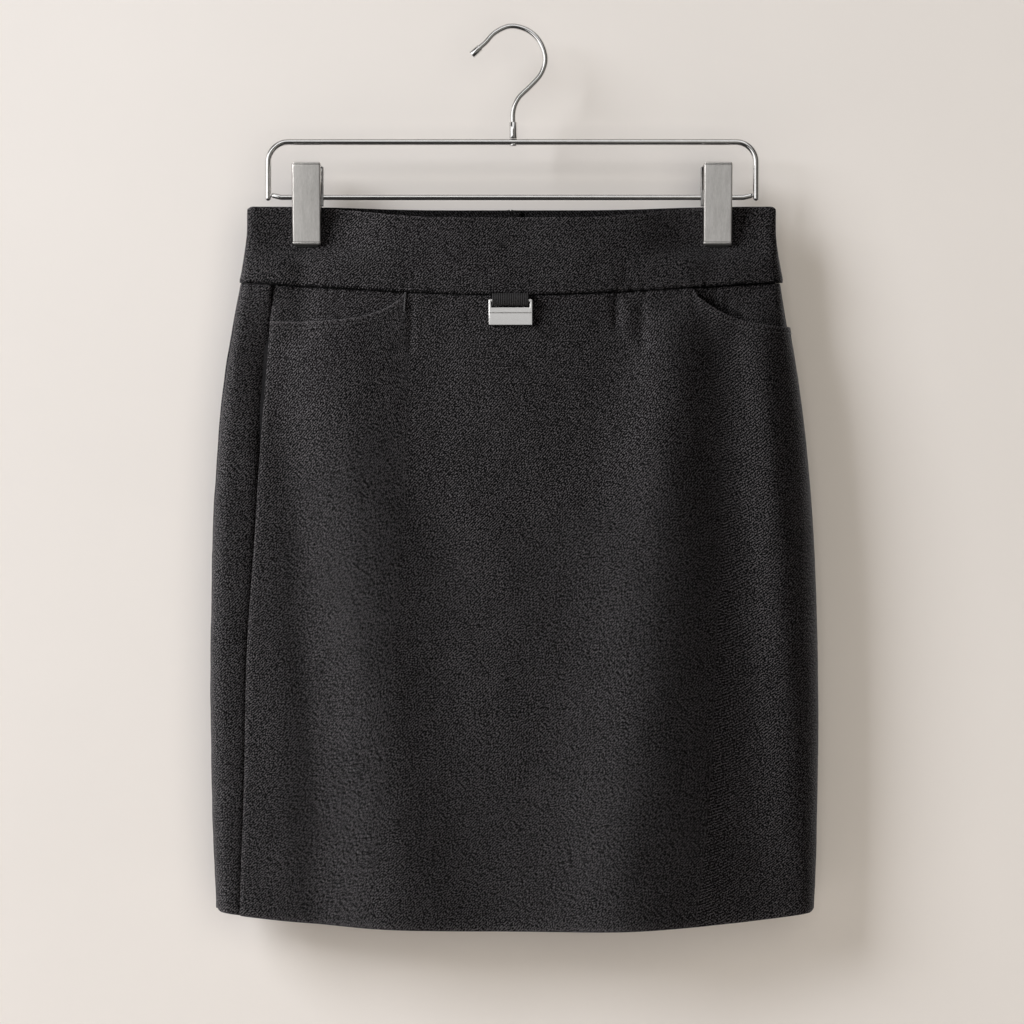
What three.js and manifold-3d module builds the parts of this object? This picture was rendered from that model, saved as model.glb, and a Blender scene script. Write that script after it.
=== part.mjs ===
// A knee-length pull-on skort on a wire clip hanger.
//
// Millimetres, +Z up. The front faces -Y and the wearer's left side is +X. The origin is the
// highest point inside the hanger's hook, where a rod or a wall hook carries the whole piece.
//
// The skirt is a soft tube that hangs nearly flat from two clips. Every panel of it is cut from
// one skin: a closed section, worked out for any height, with a rounded fold at each side and
// long soft folds down the front and the back. A point of the skin is named by an angle, which
// runs from 0 at the wearer's right edge, over the front, to PI at the left edge, and on over
// the back to 2 PI. A pair of shorts hangs inside the skirt from the same waist seam.
import * as THREE from "three";
import { mergeVertices } from "three/addons/utils/BufferGeometryUtils.js";
import Module from "manifold-3d";

// ---------------------------------------------------------------- driving dimensions

const GAP = 0.3; // between neighbouring pieces
const SKIRT_CLOTH = 1.2;
const BAND_CLOTH = 2.0; // two layers of cloth over an elastic
const FACING_CLOTH = 1.0;
const SHORTS_CLOTH = 1.0;
const BAND_PROUD = 0.8; // how far the waistband stands out from the skirt below it

// The skirt's outer skin, from the top of the waistband to the hem: its two side edges, the
// radius of the soft fold at each edge, and how deep the front and the back are at the middle.
const SKIN = [
  { z: -124, minX: -183.3, maxX: 185.1, edge: 4.4, front: 9.0, back: 8.5 },
  { z: -148, minX: -184.4, maxX: 185.4, edge: 5.2, front: 11.5, back: 11.0 },
  { z: -178, minX: -189.3, maxX: 190.3, edge: 6.6, front: 14.5, back: 13.5 },
  { z: -204, minX: -194.3, maxX: 194.6, edge: 8.0, front: 16.5, back: 16.0 },
  { z: -246, minX: -200.9, maxX: 201.6, edge: 9.4, front: 19.5, back: 19.0 },
  { z: -302, minX: -206.2, maxX: 208.3, edge: 10.4, front: 22.0, back: 22.0 },
  { z: -372, minX: -209.0, maxX: 213.2, edge: 11.0, front: 23.0, back: 24.0 },
  { z: -470, minX: -210.4, maxX: 215.6, edge: 11.0, front: 22.5, back: 25.0 },
  { z: -554, minX: -208.3, maxX: 214.6, edge: 11.0, front: 22.0, back: 25.0 },
  { z: -630, minX: -205.8, maxX: 212.0, edge: 10.5, front: 21.0, back: 25.0 },
];

// Long soft folds. Each is a rounded ridge, or a trough where its height is negative, that
// wanders from one x under the waist seam to another at the hem and grows on the way down.
const FRONT_FOLDS = [
  { top: -122, middle: -98, hem: -75, width: 36, high: 2.2, half: 5.0, low: 7.0 },
  { top: -52, middle: -38, hem: -16, width: 30, high: -1.2, half: -1.6, low: -2.2 },
  { top: 10, middle: 6, hem: 22, width: 34, high: 1.2, half: 0.8, low: 0 },
  { top: 108, middle: 100, hem: 88, width: 42, high: 3.6, half: 10.0, low: 13.0 },
  { top: 156, middle: 160, hem: 176, width: 22, high: -3.2, half: -3.6, low: -2.0 },
  { top: 182, middle: 190, hem: 196, width: 14, high: 0.8, half: 1.2, low: 1.0 },
];
const BACK_FOLDS = [
  { top: -128, middle: -118, hem: -104, width: 38, high: 2.0, half: 6.0, low: 8.5 },
  { top: -62, middle: -58, hem: -48, width: 28, high: -1.4, half: -2.4, low: -3.0 },
  { top: 6, middle: -4, hem: 12, width: 34, high: 1.4, half: 3.0, low: 4.5 },
  { top: 92, middle: 102, hem: 118, width: 38, high: 2.0, half: 5.0, low: 7.5 },
  { top: 158, middle: 164, hem: 172, width: 22, high: -2.2, half: -2.6, low: -1.6 },
];

const WAIST_TOP = -124.9; // top edge of the waistband, at the sides
const WAIST_SEAM = -177.9; // its bottom seam, at the sides
const HEM = -617.5;
const SEAM_DIP = { front: 9.3, back: 1.6 }; // how far the waist seam drops towards the middle
const TOP_DIP = { front: 8.0, back: 1.4, from: 155, over: 110 }; // and the top edge, between the clips
const HEM_DIP = { front: 12.4, back: 5, shape: 2.4 }; // and the hem, from each side
const CORNER = { reach: 5, drop: 2.4 }; // the rounding of the folded corners
// Where the clips press the two walls of the waistband flat: to each side of a clip with a soft
// end, and down to a height.
const PRESSED = { reach: 28, firm: 8, from: -162, over: 10 };

// The wearer's right side seam has rolled round to the front, and the left one to the back.
const SIDE_SEAM = [
  { z: -178, right: 22, left: 26 },
  { z: -246, right: 28, left: 30 },
  { z: -330, right: 29, left: 30 },
  { z: -428, right: 25, left: 26 },
  { z: -512, right: 22, left: 24 },
  { z: -620, right: 16, left: 20 },
];
const BAND_SEAM = 4; // the waistband's side seams, in from each edge, on the back

// The slanting mouth of each front pocket falls away from its inner end towards the side.
const POCKETS = {
  right: { inner: -74, drop: 26.5, run: 26, gape: 0.2 },
  left: { inner: 129, drop: 33, run: 24, gape: 1.2 },
};
const GAPE = { x: 158, width: 18, over: 14 }; // where a mouth gapes, and how soon below the seam

// How far each facing reaches past its mouth's inner end and down from the waist seam, and how
// loosely it lies behind the front panel.
const FACING = { beyond: 20, deep: 47, loose: 0.4 };

const SHORTS = {
  attach: 7, // how far their top edge reaches up inside the waistband
  clear: 0.7, // between the waistband and that edge
  tuck: { deep: 1.2, over: 6 }, // how they pass behind the facings, just above the seam
  corner: 1.6, // the extra room that they leave in the skirt's side folds
  settle: 24, // the height in which they leave the skirt's form, below the waist seam
  inset: 8, // in from the skirt's side edges
  depth: 12,
  edge: 5,
  flatter: { share: 0.6, over: 60 }, // of that depth, behind the pockets
  crotch: -398,
  curve: 50, // height of the curved part of the crotch seam
  legGap: { half: 3.5, over: 40 }, // between the legs, and how soon it opens
  hem: -556,
  taper: 9, // how much narrower each leg is at its hem
};

// A metal tag in a loop of webbing. It swings on the bar inside the loop.
const TAG = {
  z: -191.6, // the bar's axis
  stand: 3.1, // and how far that stands out from the skirt
  bar: 1.3,
  width: 30.8,
  arm: 1.8,
  armTop: 1.7,
  top: -3.5, // the plate's edges, from the axis
  bottom: -15.9,
  groove: -7.1,
  thick: 2,
  bevel: 0.4,
};
const LOOP = { width: 25.4, cloth: 1.2, tail: 3.9 };

const RAIL = { z: -79.3, right: -169.7, left: 171.9, radius: 2.05, bend: 14, foot: -120.6 };
const CROSSBAR = { z: -118.1, radius: 1.85, rise: 3.4, bend: 5 };
const COLLAR = { x: 1.9, radius: 2.6, top: -65.4, bottom: -77 };
const RIVET = { radius: 1.8, top: -81.6, bottom: -82.9 };

// The middle line of the hook's wire, from inside the collar over the top to its tip.
const HOOK_RADIUS = 1.8;
const HOOK = [
  { x: 1.9, z: -70 },
  { x: 1.9, z: -58 },
  { x: 5.6, z: -48.6 },
  { x: 14.6, z: -39.6 },
  { x: 21.6, z: -31.2 },
  { x: 24.4, z: -20.6 },
  { x: 20.4, z: -8.8 },
  { x: 11.6, z: -0.9 },
  { x: 0, z: 1.8 },
  { x: -10.6, z: -2.6 },
  { x: -17.4, z: -9.6 },
  { x: -21.6, z: -13.4 },
];
const TIP = { radius: 2.5, length: 4.6 };
const WIRE_END = 0.45; // every wire's end is rounded over this share of its radius

// Two spring clips. Each jaw is a bent sheet that leans out from the cloth towards the top.
const CLIPS = { right: -142.5, left: 144.8 };
const JAW = {
  top: -93.5,
  bottom: -151.5,
  width: 19,
  sheet: 1,
  foot: 5.2, // how far its outer face stands from the middle, at the bottom
  head: 12.8, // and at the top
  lip: 2.1, // length of the fold at each end
  flange: { top: -104, bottom: -135, deep: 2.6, flat: 8 },
};
const PAD = { top: -134, bottom: -149.6, width: 16 };
const SPRING = { radius: 4.2, length: 13 };
const BRACKET = { top: -97, bottom: -124.2, deep: 4.5, thick: 1.7 };

// ---------------------------------------------------------------- small maths

const { PI, abs, acos, cos, exp, max, min, sin, sqrt } = Math;
const mix = (a, b, t) => a + (b - a) * t;
const clamp = (t) => min(1, max(0, t));
const ease = (t) => clamp(t) ** 2 * (3 - 2 * clamp(t));

// One column of a table whose rows run down the garment, with a smooth curve between rows.
function column(table, name, z) {
  const last = table.length - 1;
  if (z >= table[0].z) return table[0][name];
  if (z <= table[last].z) return table[last][name];
  const k = table.findIndex((row) => row.z <= z) - 1;
  const slope = (n) => {
    const [above, below] = [table[max(n - 1, 0)], table[min(n + 1, last)]];
    return (below[name] - above[name]) / (below.z - above.z);
  };
  const [from, to] = [table[k], table[k + 1]];
  const span = to.z - from.z;
  const t = (z - from.z) / span;
  return (
    from[name] * (1 + 2 * t) * (1 - t) ** 2 +
    to[name] * t ** 2 * (3 - 2 * t) +
    span * slope(k) * t * (1 - t) ** 2 -
    span * slope(k + 1) * t ** 2 * (1 - t)
  );
}

// A value given at the waist seam, half way down and at the hem, as a curve through all three.
const along = (a, b, c, t) => a * (1 - t) * (1 - 2 * t) + 4 * b * t * (1 - t) + c * t * (2 * t - 1);

// ---------------------------------------------------------------- the skin

const isFront = (angle) => sin(angle) >= 0;
const side = (angle) => (isFront(angle) ? "front" : "back");

function foldHeight(folds, x, z) {
  const t = clamp((WAIST_SEAM - z) / (WAIST_SEAM - HEM));
  const grown = ease(t / 0.12);
  return folds.reduce((sum, fold) => {
    const centre = along(fold.top, fold.middle, fold.hem, t);
    const height = along(fold.high, fold.half, fold.low, t);
    return sum + grown * height * exp(-(((x - centre) / fold.width) ** 2));
  }, 0);
}

// How hard the clips press the two walls of the waistband together, from 0 to 1.
function pressed(x, z) {
  const near = Object.values(CLIPS).map((clip) => exp(-(((x - clip) / PRESSED.reach) ** PRESSED.firm)));
  return max(...near) * ease((z - PRESSED.from) / PRESSED.over);
}

// A point of the skin, moved out by grow.
function skinPoint(angle, z, grow = 0) {
  const low = column(SKIN, "minX", z) - grow;
  const high = column(SKIN, "maxX", z) + grow;
  const half = (high - low) / 2;
  const across = -cos(angle);
  const x = (low + high) / 2 + half * across;
  const edge = column(SKIN, "edge", z) + grow;
  const inward = half * (1 - abs(across));
  const round = inward < edge ? sqrt(edge ** 2 - (edge - inward) ** 2) : edge;
  const bulge = (column(SKIN, side(angle), z) + grow - edge) * (1 - across ** 2);
  const folds = foldHeight(isFront(angle) ? FRONT_FOLDS : BACK_FOLDS, x, z) * (1 - across ** 8);
  const open = round + bulge + folds;
  const depth = mix(open, min(open, BAND_CLOTH + GAP), pressed(x, z));
  return new THREE.Vector3(x, isFront(angle) ? -depth : depth, z);
}

// The same point with the outward normal there, moved in by inset along it.
function skin(angle, z, { grow = 0, inset = 0 } = {}) {
  const step = { angle: 2e-3, z: 0.4 };
  const around = skinPoint(angle + step.angle, z, grow).sub(skinPoint(angle - step.angle, z, grow));
  const down = skinPoint(angle, z - step.z, grow).sub(skinPoint(angle, z + step.z, grow));
  const normal = down.cross(around).normalize();
  return { point: skinPoint(angle, z, grow).addScaledVector(normal, -inset), normal };
}

// The angle of the skin at a given x, on the front or on the back.
function angleAt(x, z, onFront) {
  const [low, high] = [column(SKIN, "minX", z), column(SKIN, "maxX", z)];
  const turn = acos(min(1, max(-1, 1 - (2 * (x - low)) / (high - low))));
  return onFront ? turn : 2 * PI - turn;
}

// The change of angle that moves a point of the skin by a small distance.
function turnFor(distance, angle, z) {
  const step = 1e-3;
  return (distance * step) / skinPoint(angle + step, z).distanceTo(skinPoint(angle, z));
}

// Shares of the way from one angle to another that spread the columns of a panel well: by
// length, with depth counted five times, so that the tight folds at the sides get enough.
function spread(from, to, columns, z) {
  const fine = 600;
  const depthWeight = 5;
  const length = [0];
  for (let k = 1; k <= fine; k += 1) {
    const [a, b] = [mix(from, to, (k - 1) / fine), mix(from, to, k / fine)];
    const step = skinPoint(b, z).sub(skinPoint(a, z));
    length.push(length[k - 1] + Math.hypot(step.x, depthWeight * step.y));
  }
  return Array.from({ length: columns + 1 }, (_, i) => {
    const wanted = (length[fine] * i) / columns;
    const k = min(fine, max(1, length.findIndex((l) => l >= wanted)));
    return (k - 1 + (wanted - length[k - 1]) / (length[k] - length[k - 1])) / fine;
  });
}

// ---------------------------------------------------------------- lines across the skin

const middleDip = (angle) => (cos((cos(angle) * PI) / 2) ** 2 + 1 - cos(angle) ** 2) / 2;
const waistSeam = (angle) => WAIST_SEAM - SEAM_DIP[side(angle)] * middleDip(angle);

// How much a corner at the side edge is rounded off, at the height of its line.
function cornerDrop(angle, z) {
  const half = (column(SKIN, "maxX", z) - column(SKIN, "minX", z)) / 2;
  const inward = half * (1 - abs(cos(angle)));
  return CORNER.drop * max(0, 1 - inward / CORNER.reach) ** 2;
}

function bandTop(angle) {
  const { x } = skinPoint(angle, WAIST_TOP);
  const between = ease((TOP_DIP.from - abs(x)) / TOP_DIP.over);
  return WAIST_TOP - TOP_DIP[side(angle)] * between - cornerDrop(angle, WAIST_TOP);
}

const hemLine = (angle) =>
  HEM - HEM_DIP[side(angle)] * (1 - abs(cos(angle)) ** HEM_DIP.shape) + cornerDrop(angle, HEM);

const seams = {
  right: (z) => angleAt(column(SKIN, "minX", z) + column(SIDE_SEAM, "right", z), z, true),
  left: (z) => angleAt(column(SKIN, "maxX", z) - column(SIDE_SEAM, "left", z), z, false),
  back: (z) => angleAt(0, z, false),
  bandRight: (z) => angleAt(column(SKIN, "minX", z) + BAND_SEAM, z, false) - 2 * PI,
  bandLeft: (z) => angleAt(column(SKIN, "maxX", z) - BAND_SEAM, z, false),
};
const wrapped = (seam) => (z) => seam(z) + 2 * PI;

// Distance round the skin from one x on the front to an angle, just under the waist seam.
function distanceFrom(x, angle) {
  const z = WAIST_SEAM - 10;
  const start = angleAt(x, z, true);
  const steps = 60;
  let length = 0;
  for (let k = 0; k < steps; k += 1) {
    const [a, b] = [mix(start, angle, k / steps), mix(start, angle, (k + 1) / steps)];
    length += skinPoint(a, z).distanceTo(skinPoint(b, z));
  }
  return length;
}

// The top line of the front panel: the waist seam, then down each pocket's mouth to its side.
function frontTop(angle) {
  const { x } = skinPoint(angle, WAIST_SEAM - 10);
  const past = { right: x < POCKETS.right.inner && isFront(angle), left: x > POCKETS.left.inner };
  const pocket = past.right ? POCKETS.right : past.left ? POCKETS.left : null;
  if (!pocket) return waistSeam(angle) - GAP;
  return waistSeam(angle) - GAP - pocket.drop * (1 - exp(-distanceFrom(pocket.inner, angle) / pocket.run));
}

// ---------------------------------------------------------------- cloth walls

// A closed wall: at(u, v) gives a point of its outer face and the outward normal there, with u
// running round the body and v down it.
function wall(columns, rows, thickness, at) {
  const outer = [];
  const inner = [];
  for (let j = 0; j <= rows; j += 1) {
    for (let i = 0; i <= columns; i += 1) {
      const { point, normal } = at(i, j / rows);
      outer.push(point);
      inner.push(point.clone().addScaledVector(normal, -thickness));
    }
  }
  const index = [];
  const quad = (a, b, c, d) => index.push(a, b, c, a, c, d);
  const out = (i, j) => j * (columns + 1) + i;
  const inn = (i, j) => outer.length + out(i, j);
  for (let j = 0; j < rows; j += 1) {
    for (let i = 0; i < columns; i += 1) {
      quad(out(i, j), out(i, j + 1), out(i + 1, j + 1), out(i + 1, j));
      quad(inn(i, j), inn(i + 1, j), inn(i + 1, j + 1), inn(i, j + 1));
    }
    quad(out(0, j + 1), out(0, j), inn(0, j), inn(0, j + 1));
    quad(out(columns, j), out(columns, j + 1), inn(columns, j + 1), inn(columns, j));
  }
  for (let i = 0; i < columns; i += 1) {
    quad(out(i, 0), out(i + 1, 0), inn(i + 1, 0), inn(i, 0));
    quad(out(i + 1, rows), out(i, rows), inn(i, rows), inn(i + 1, rows));
  }
  const positions = [...outer, ...inner].flatMap((p) => p.toArray());
  const geometry = new THREE.BufferGeometry();
  geometry.setAttribute("position", new THREE.Float32BufferAttribute(positions, 3));
  geometry.setIndex(index);
  return geometry;
}

// A panel of the skin between two seams, from its top line down to its bottom line. A smaller
// piece behind it takes only some of its columns, so that the two lie truly parallel.
function panel({ from, to, top, bottom, columns, rows, thickness, crowd = 1, grow = 0, inset, only }) {
  const across = (z, share) => {
    const [a, b] = [from(z), to(z)];
    return mix(a + turnFor(GAP / 2, a, z), b - turnFor(GAP / 2, b, z), share);
  };
  const meet = (line, share, guess) => {
    let z = guess;
    for (let k = 0; k < 4; k += 1) z = line(across(z, share));
    return z;
  };
  const middle = (meet(top, 0.5, WAIST_SEAM) + meet(bottom, 0.5, HEM)) / 2;
  const all = spread(from(middle), to(middle), columns, middle);
  const shares = only ? all.filter((share) => only(skinPoint(across(middle, share), middle).x)) : all;
  return wall(shares.length - 1, rows, thickness, (i, v) => {
    const z = mix(meet(top, shares[i], WAIST_SEAM), meet(bottom, shares[i], WAIST_SEAM), v ** crowd);
    const angle = across(z, shares[i]);
    return skin(angle, z, { grow, inset: inset ? inset(angle, z) : 0 });
  });
}

// ---------------------------------------------------------------- skirt and waistband

const FRONT = { from: seams.right, to: seams.left, columns: 34 };
const BACK_LEFT = { from: seams.left, to: seams.back, columns: 18 };
const BACK_RIGHT = { from: seams.back, to: wrapped(seams.right), columns: 18 };

function skirtPanel(place, top) {
  return panel({ ...place, top, bottom: hemLine, rows: 17, crowd: 1.35, thickness: SKIRT_CLOTH });
}

function bandPanel(from, to, columns) {
  const thickness = BAND_CLOTH;
  return panel({ from, to, columns, top: bandTop, bottom: waistSeam, rows: 4, thickness, grow: BAND_PROUD });
}

// The part of a pocket that shows above its mouth. It lies one layer deeper than the front
// panel, and the cloth of a gaping mouth stands off it.
function pocketFacing(pocket, only) {
  const gape = ({ x }) => pocket.gape * exp(-(((abs(x) - GAPE.x) / GAPE.width) ** 2));
  return panel({
    ...FRONT,
    only,
    top: (angle) => waistSeam(angle) - GAP,
    bottom: (angle) => waistSeam(angle) - FACING.deep,
    rows: 4,
    thickness: FACING_CLOTH,
    inset: (angle, z) => {
      const opened = ease((waistSeam(angle) - z) / GAPE.over);
      const stands = FACING.loose + (isFront(angle) ? gape(skinPoint(angle, z)) : 0);
      return SKIRT_CLOTH + GAP + stands * opened;
    },
  });
}

// ---------------------------------------------------------------- shorts

// Half of the shorts: one leg, and the body above it from the centre front seam round the side
// to the centre back seam. The turn runs from 0 to 2 PI round it, in the skin's direction.
function shortsOutline(left, turn, z) {
  const onFront = left === turn < PI;
  const share = (1 - cos(turn)) / 2; // from the middle of the body to its side
  const edge = left ? column(SKIN, "maxX", z) : -column(SKIN, "minX", z);
  const way = left ? 1 : -1;
  const angle = angleAt(way * mix(GAP / 2, edge, share), z, onFront);
  const tucked = SHORTS.tuck.deep * (1 - ease((z - waistSeam(angle)) / SHORTS.tuck.over));
  const inset = BAND_CLOTH + SHORTS.clear + tucked + SHORTS.corner * share ** 12;
  const top = skin(angle, z, { grow: BAND_PROUD, inset }).point;
  top.x = way * max(way * top.x, GAP / 2);

  const legInner = mix(GAP / 2, SHORTS.legGap.half, ease((SHORTS.crotch - z) / SHORTS.legGap.over));
  const legTaper = SHORTS.taper * clamp((SHORTS.crotch - z) / (SHORTS.crotch - SHORTS.hem));
  const legOuter = edge - SHORTS.inset - legTaper;
  const x = mix(legInner, legOuter, share);
  const bulge = (SHORTS.depth - SHORTS.edge) * (1 - (x / legOuter) ** 2);
  const { share: least, over } = SHORTS.flatter;
  const behindPockets = mix(least, 1, ease((WAIST_SEAM - FACING.deep - z) / over));
  const rounded = (inward) => sqrt(1 - (1 - clamp(inward / SHORTS.edge)) ** 2);
  const open = ease((z - SHORTS.crotch) / SHORTS.curve);
  const round = (SHORTS.edge * rounded(legOuter - x) + bulge) * behindPockets;
  const full = round * mix(rounded(x - legInner), 1, open);
  const depth = full + (GAP / 2) * (1 - open);
  const own = new THREE.Vector3(way * x, onFront ? -depth : depth, z);
  return top.lerp(own, ease((waistSeam(angle) - z) / SHORTS.settle));
}

function shortsHalf(left) {
  const columns = 24;
  const rows = 13;
  return wall(columns, rows, SHORTS_CLOTH, (i, v) => {
    const turn = (2 * PI * i) / columns;
    const high = waistSeam(left ? turn + PI / 2 : turn - PI / 2) + SHORTS.attach;
    const z = mix(high, SHORTS.hem, v);
    const step = { turn: 0.01, z: 0.4 };
    const safe = min(2 * PI - 3 * step.turn, max(3 * step.turn, turn));
    const outline = (t, height) => shortsOutline(left, t, height);
    const around = outline(safe + step.turn, z).sub(outline(safe - step.turn, z));
    const down = outline(safe, z - step.z).sub(outline(safe, z + step.z));
    return { point: outline(turn, z), normal: down.cross(around).normalize() };
  });
}

// ---------------------------------------------------------------- solid shapes

const wasm = await Module();
wasm.setup();
const { Manifold, Mesh } = wasm;

// A flat outline in the plane across the X axis, given as [y, z], made solid from x0 to x1.
function bar(outline, x0, x1) {
  const shape = new THREE.Shape(outline.map(([y, z]) => new THREE.Vector2(y, z)));
  const geometry = new THREE.ExtrudeGeometry(shape, { depth: x1 - x0, bevelEnabled: false });
  geometry.rotateY(PI / 2).rotateX(PI / 2).translate(x0, 0, 0);
  return solid(geometry);
}

function solid(geometry) {
  const bare = geometry.clone();
  bare.deleteAttribute("normal");
  bare.deleteAttribute("uv");
  const merged = mergeVertices(bare, 1e-4);
  return new Manifold(
    new Mesh({
      numProp: 3,
      vertProperties: new Float32Array(merged.attributes.position.array),
      triVerts: new Uint32Array(merged.index.array),
    }),
  );
}

function toGeometry(body) {
  const mesh = body.getMesh();
  const geometry = new THREE.BufferGeometry();
  geometry.setAttribute("position", new THREE.BufferAttribute(mesh.vertProperties, 3));
  geometry.setIndex(new THREE.BufferAttribute(mesh.triVerts, 1));
  return geometry;
}

// A round bar along X, about the axis at y and z.
function rod(y, z, radius, x0, x1, sides = 16) {
  const body = Manifold.cylinder(x1 - x0, radius, radius, sides);
  return body.rotate([0, 90, 0]).translate([x0, y, z]);
}

// A round wire of which the middle line lies in the plane y = 0.
function wire(line, radius, sides = 10) {
  const end = WIRE_END * radius;
  const positions = [];
  const rings = [];
  const ring = (point, tangent, r) => {
    const across = new THREE.Vector3(-tangent.z, 0, tangent.x);
    rings.push(positions.length / 3);
    for (let k = 0; k < sides; k += 1) {
      const [a, b] = [r * cos((2 * PI * k) / sides), r * sin((2 * PI * k) / sides)];
      positions.push(point.x + a * across.x, b, point.z + a * across.z);
    }
  };
  const tangentAt = (k) =>
    line[min(k + 1, line.length - 1)].clone().sub(line[max(k - 1, 0)]).normalize();
  line.forEach((point, k) => {
    const tangent = tangentAt(k);
    if (k === 0) ring(point.clone().addScaledVector(tangent, -end), tangent, end);
    ring(point, tangent, radius);
    if (k === line.length - 1) ring(point.clone().addScaledVector(tangent, end), tangent, end);
  });
  const index = [];
  for (let k = 1; k < rings.length; k += 1) {
    for (let s = 0; s < sides; s += 1) {
      const next = (s + 1) % sides;
      const [a, b] = [rings[k - 1] + s, rings[k - 1] + next];
      const [c, d] = [rings[k] + next, rings[k] + s];
      index.push(a, c, b, a, d, c);
    }
  }
  const last = rings[rings.length - 1];
  for (let s = 1; s < sides - 1; s += 1) {
    index.push(0, s, s + 1, last, last + s + 1, last + s);
  }
  const geometry = new THREE.BufferGeometry();
  geometry.setAttribute("position", new THREE.Float32BufferAttribute(positions, 3));
  geometry.setIndex(index);
  return geometry;
}

// A line through corners in the plane y = 0, with each inner corner bent to a radius.
function bent(corners, radius, steps) {
  const points = corners.map(([x, z]) => new THREE.Vector3(x, 0, z));
  const line = [points[0]];
  for (let k = 1; k < points.length - 1; k += 1) {
    const before = points[k - 1].clone().sub(points[k]).normalize();
    const after = points[k + 1].clone().sub(points[k]).normalize();
    const half = before.angleTo(after) / 2;
    const centre = before.clone().add(after).normalize();
    centre.multiplyScalar(radius / sin(half)).add(points[k]);
    const reach = radius / Math.tan(half);
    const start = points[k].clone().addScaledVector(before, reach).sub(centre);
    const end = points[k].clone().addScaledVector(after, reach).sub(centre);
    const sweep = start.angleTo(end);
    for (let s = 0; s <= steps; s += 1) {
      const t = s / steps;
      const a = start.clone().multiplyScalar(sin((1 - t) * sweep) / sin(sweep));
      line.push(a.addScaledVector(end, sin(t * sweep) / sin(sweep)).add(centre));
    }
  }
  line.push(points[points.length - 1]);
  return line;
}

// ---------------------------------------------------------------- tag and loop

const front = (z) => skinPoint(PI / 2, z).y;
const tagY = front(TAG.z) - TAG.stand;

function tag() {
  const half = TAG.width / 2;
  const inner = half - TAG.arm;
  const [y0, y1] = [tagY - TAG.thick / 2, tagY + TAG.thick / 2];
  const [z0, z1] = [TAG.z + TAG.bottom, TAG.z + TAG.armTop];
  const b = TAG.bevel;
  const outline = [[y0 + b, z0], [y1 - b, z0], [y1, z0 + b], [y1, z1], [y0, z1], [y0, z0 + b]];
  const slot = Manifold.cube([2 * inner, 6, TAG.armTop - TAG.top + 1], true);
  const groove = Manifold.cube([TAG.width + 2, 0.6, 0.7], true);
  return toGeometry(
    bar(outline, -half, half)
      .subtract(slot.translate([0, tagY, TAG.z + (TAG.armTop + TAG.top + 1) / 2]))
      .subtract(groove.translate([0, tagY - TAG.thick / 2, TAG.z + TAG.groove]))
      .add(rod(tagY, TAG.z, TAG.bar, -inner - TAG.arm / 2, inner + TAG.arm / 2)),
  );
}

// The webbing goes round the tag's bar, and both of its ends run up to the waist seam.
function tagLoop() {
  const inside = TAG.bar + GAP;
  const outside = inside + LOOP.cloth;
  const half = LOOP.width / 2;
  const top = TAG.z + LOOP.tail;
  const outline = [];
  for (let k = 0; k <= 16; k += 1) {
    const a = PI * (0.12 + (1.76 * k) / 16);
    outline.push([tagY + outside * sin(a), TAG.z + outside * cos(a)]);
  }
  const behind = front(top) - GAP;
  outline.push([behind - 2 * LOOP.cloth, top], [behind, top]);
  return toGeometry(bar(outline, -half, half).subtract(rod(tagY, TAG.z, inside, -half - 1, half + 1, 20)));
}

// ---------------------------------------------------------------- hanger

function rail() {
  const { z, right, left, radius, bend, foot } = RAIL;
  const low = foot + WIRE_END * radius;
  return wire(bent([[right, low], [right, z], [left, z], [left, low]], bend, 7), radius);
}

function crossbar() {
  const { z, radius, rise, bend } = CROSSBAR;
  const inner = RAIL.radius + GAP + radius * 0.74;
  const [right, left] = [RAIL.right + inner, RAIL.left - inner];
  const high = z + rise;
  return wire(bent([[right, high], [right + rise, z], [left - rise, z], [left, high]], bend, 4), radius);
}

function hookLine() {
  const curve = new THREE.CatmullRomCurve3(HOOK.map(({ x, z }) => new THREE.Vector3(x, 0, z)));
  return curve.getSpacedPoints(30);
}

function hook() {
  return wire(hookLine(), HOOK_RADIUS);
}

// A short cap pushed on the end of the hook's wire.
function hookTip() {
  const line = hookLine();
  const [before, end] = line.slice(-2);
  const way = end.clone().sub(before).normalize();
  const start = end.clone().addScaledVector(way, GAP + WIRE_END * (HOOK_RADIUS + TIP.radius));
  return wire([start, start.clone().addScaledVector(way, TIP.length)], TIP.radius);
}

function collar() {
  const sides = 20;
  const hole = HOOK_RADIUS + GAP;
  const tube = Manifold.cylinder(COLLAR.top - COLLAR.bottom, COLLAR.radius, COLLAR.radius, sides);
  const bore = Manifold.cylinder(8, hole, hole, sides).translate([0, 0, 5.5]);
  return toGeometry(tube.subtract(bore).translate([COLLAR.x, 0, COLLAR.bottom]));
}

function rivet() {
  const body = Manifold.cylinder(RIVET.top - RIVET.bottom, RIVET.radius * 0.8, RIVET.radius, 16);
  return toGeometry(body.translate([COLLAR.x, 0, RIVET.bottom]));
}

// The distance of a jaw's outer face from the middle plane, at a height.
const jawFace = (z) => mix(JAW.foot, JAW.head, (z - JAW.bottom) / (JAW.top - JAW.bottom));

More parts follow.
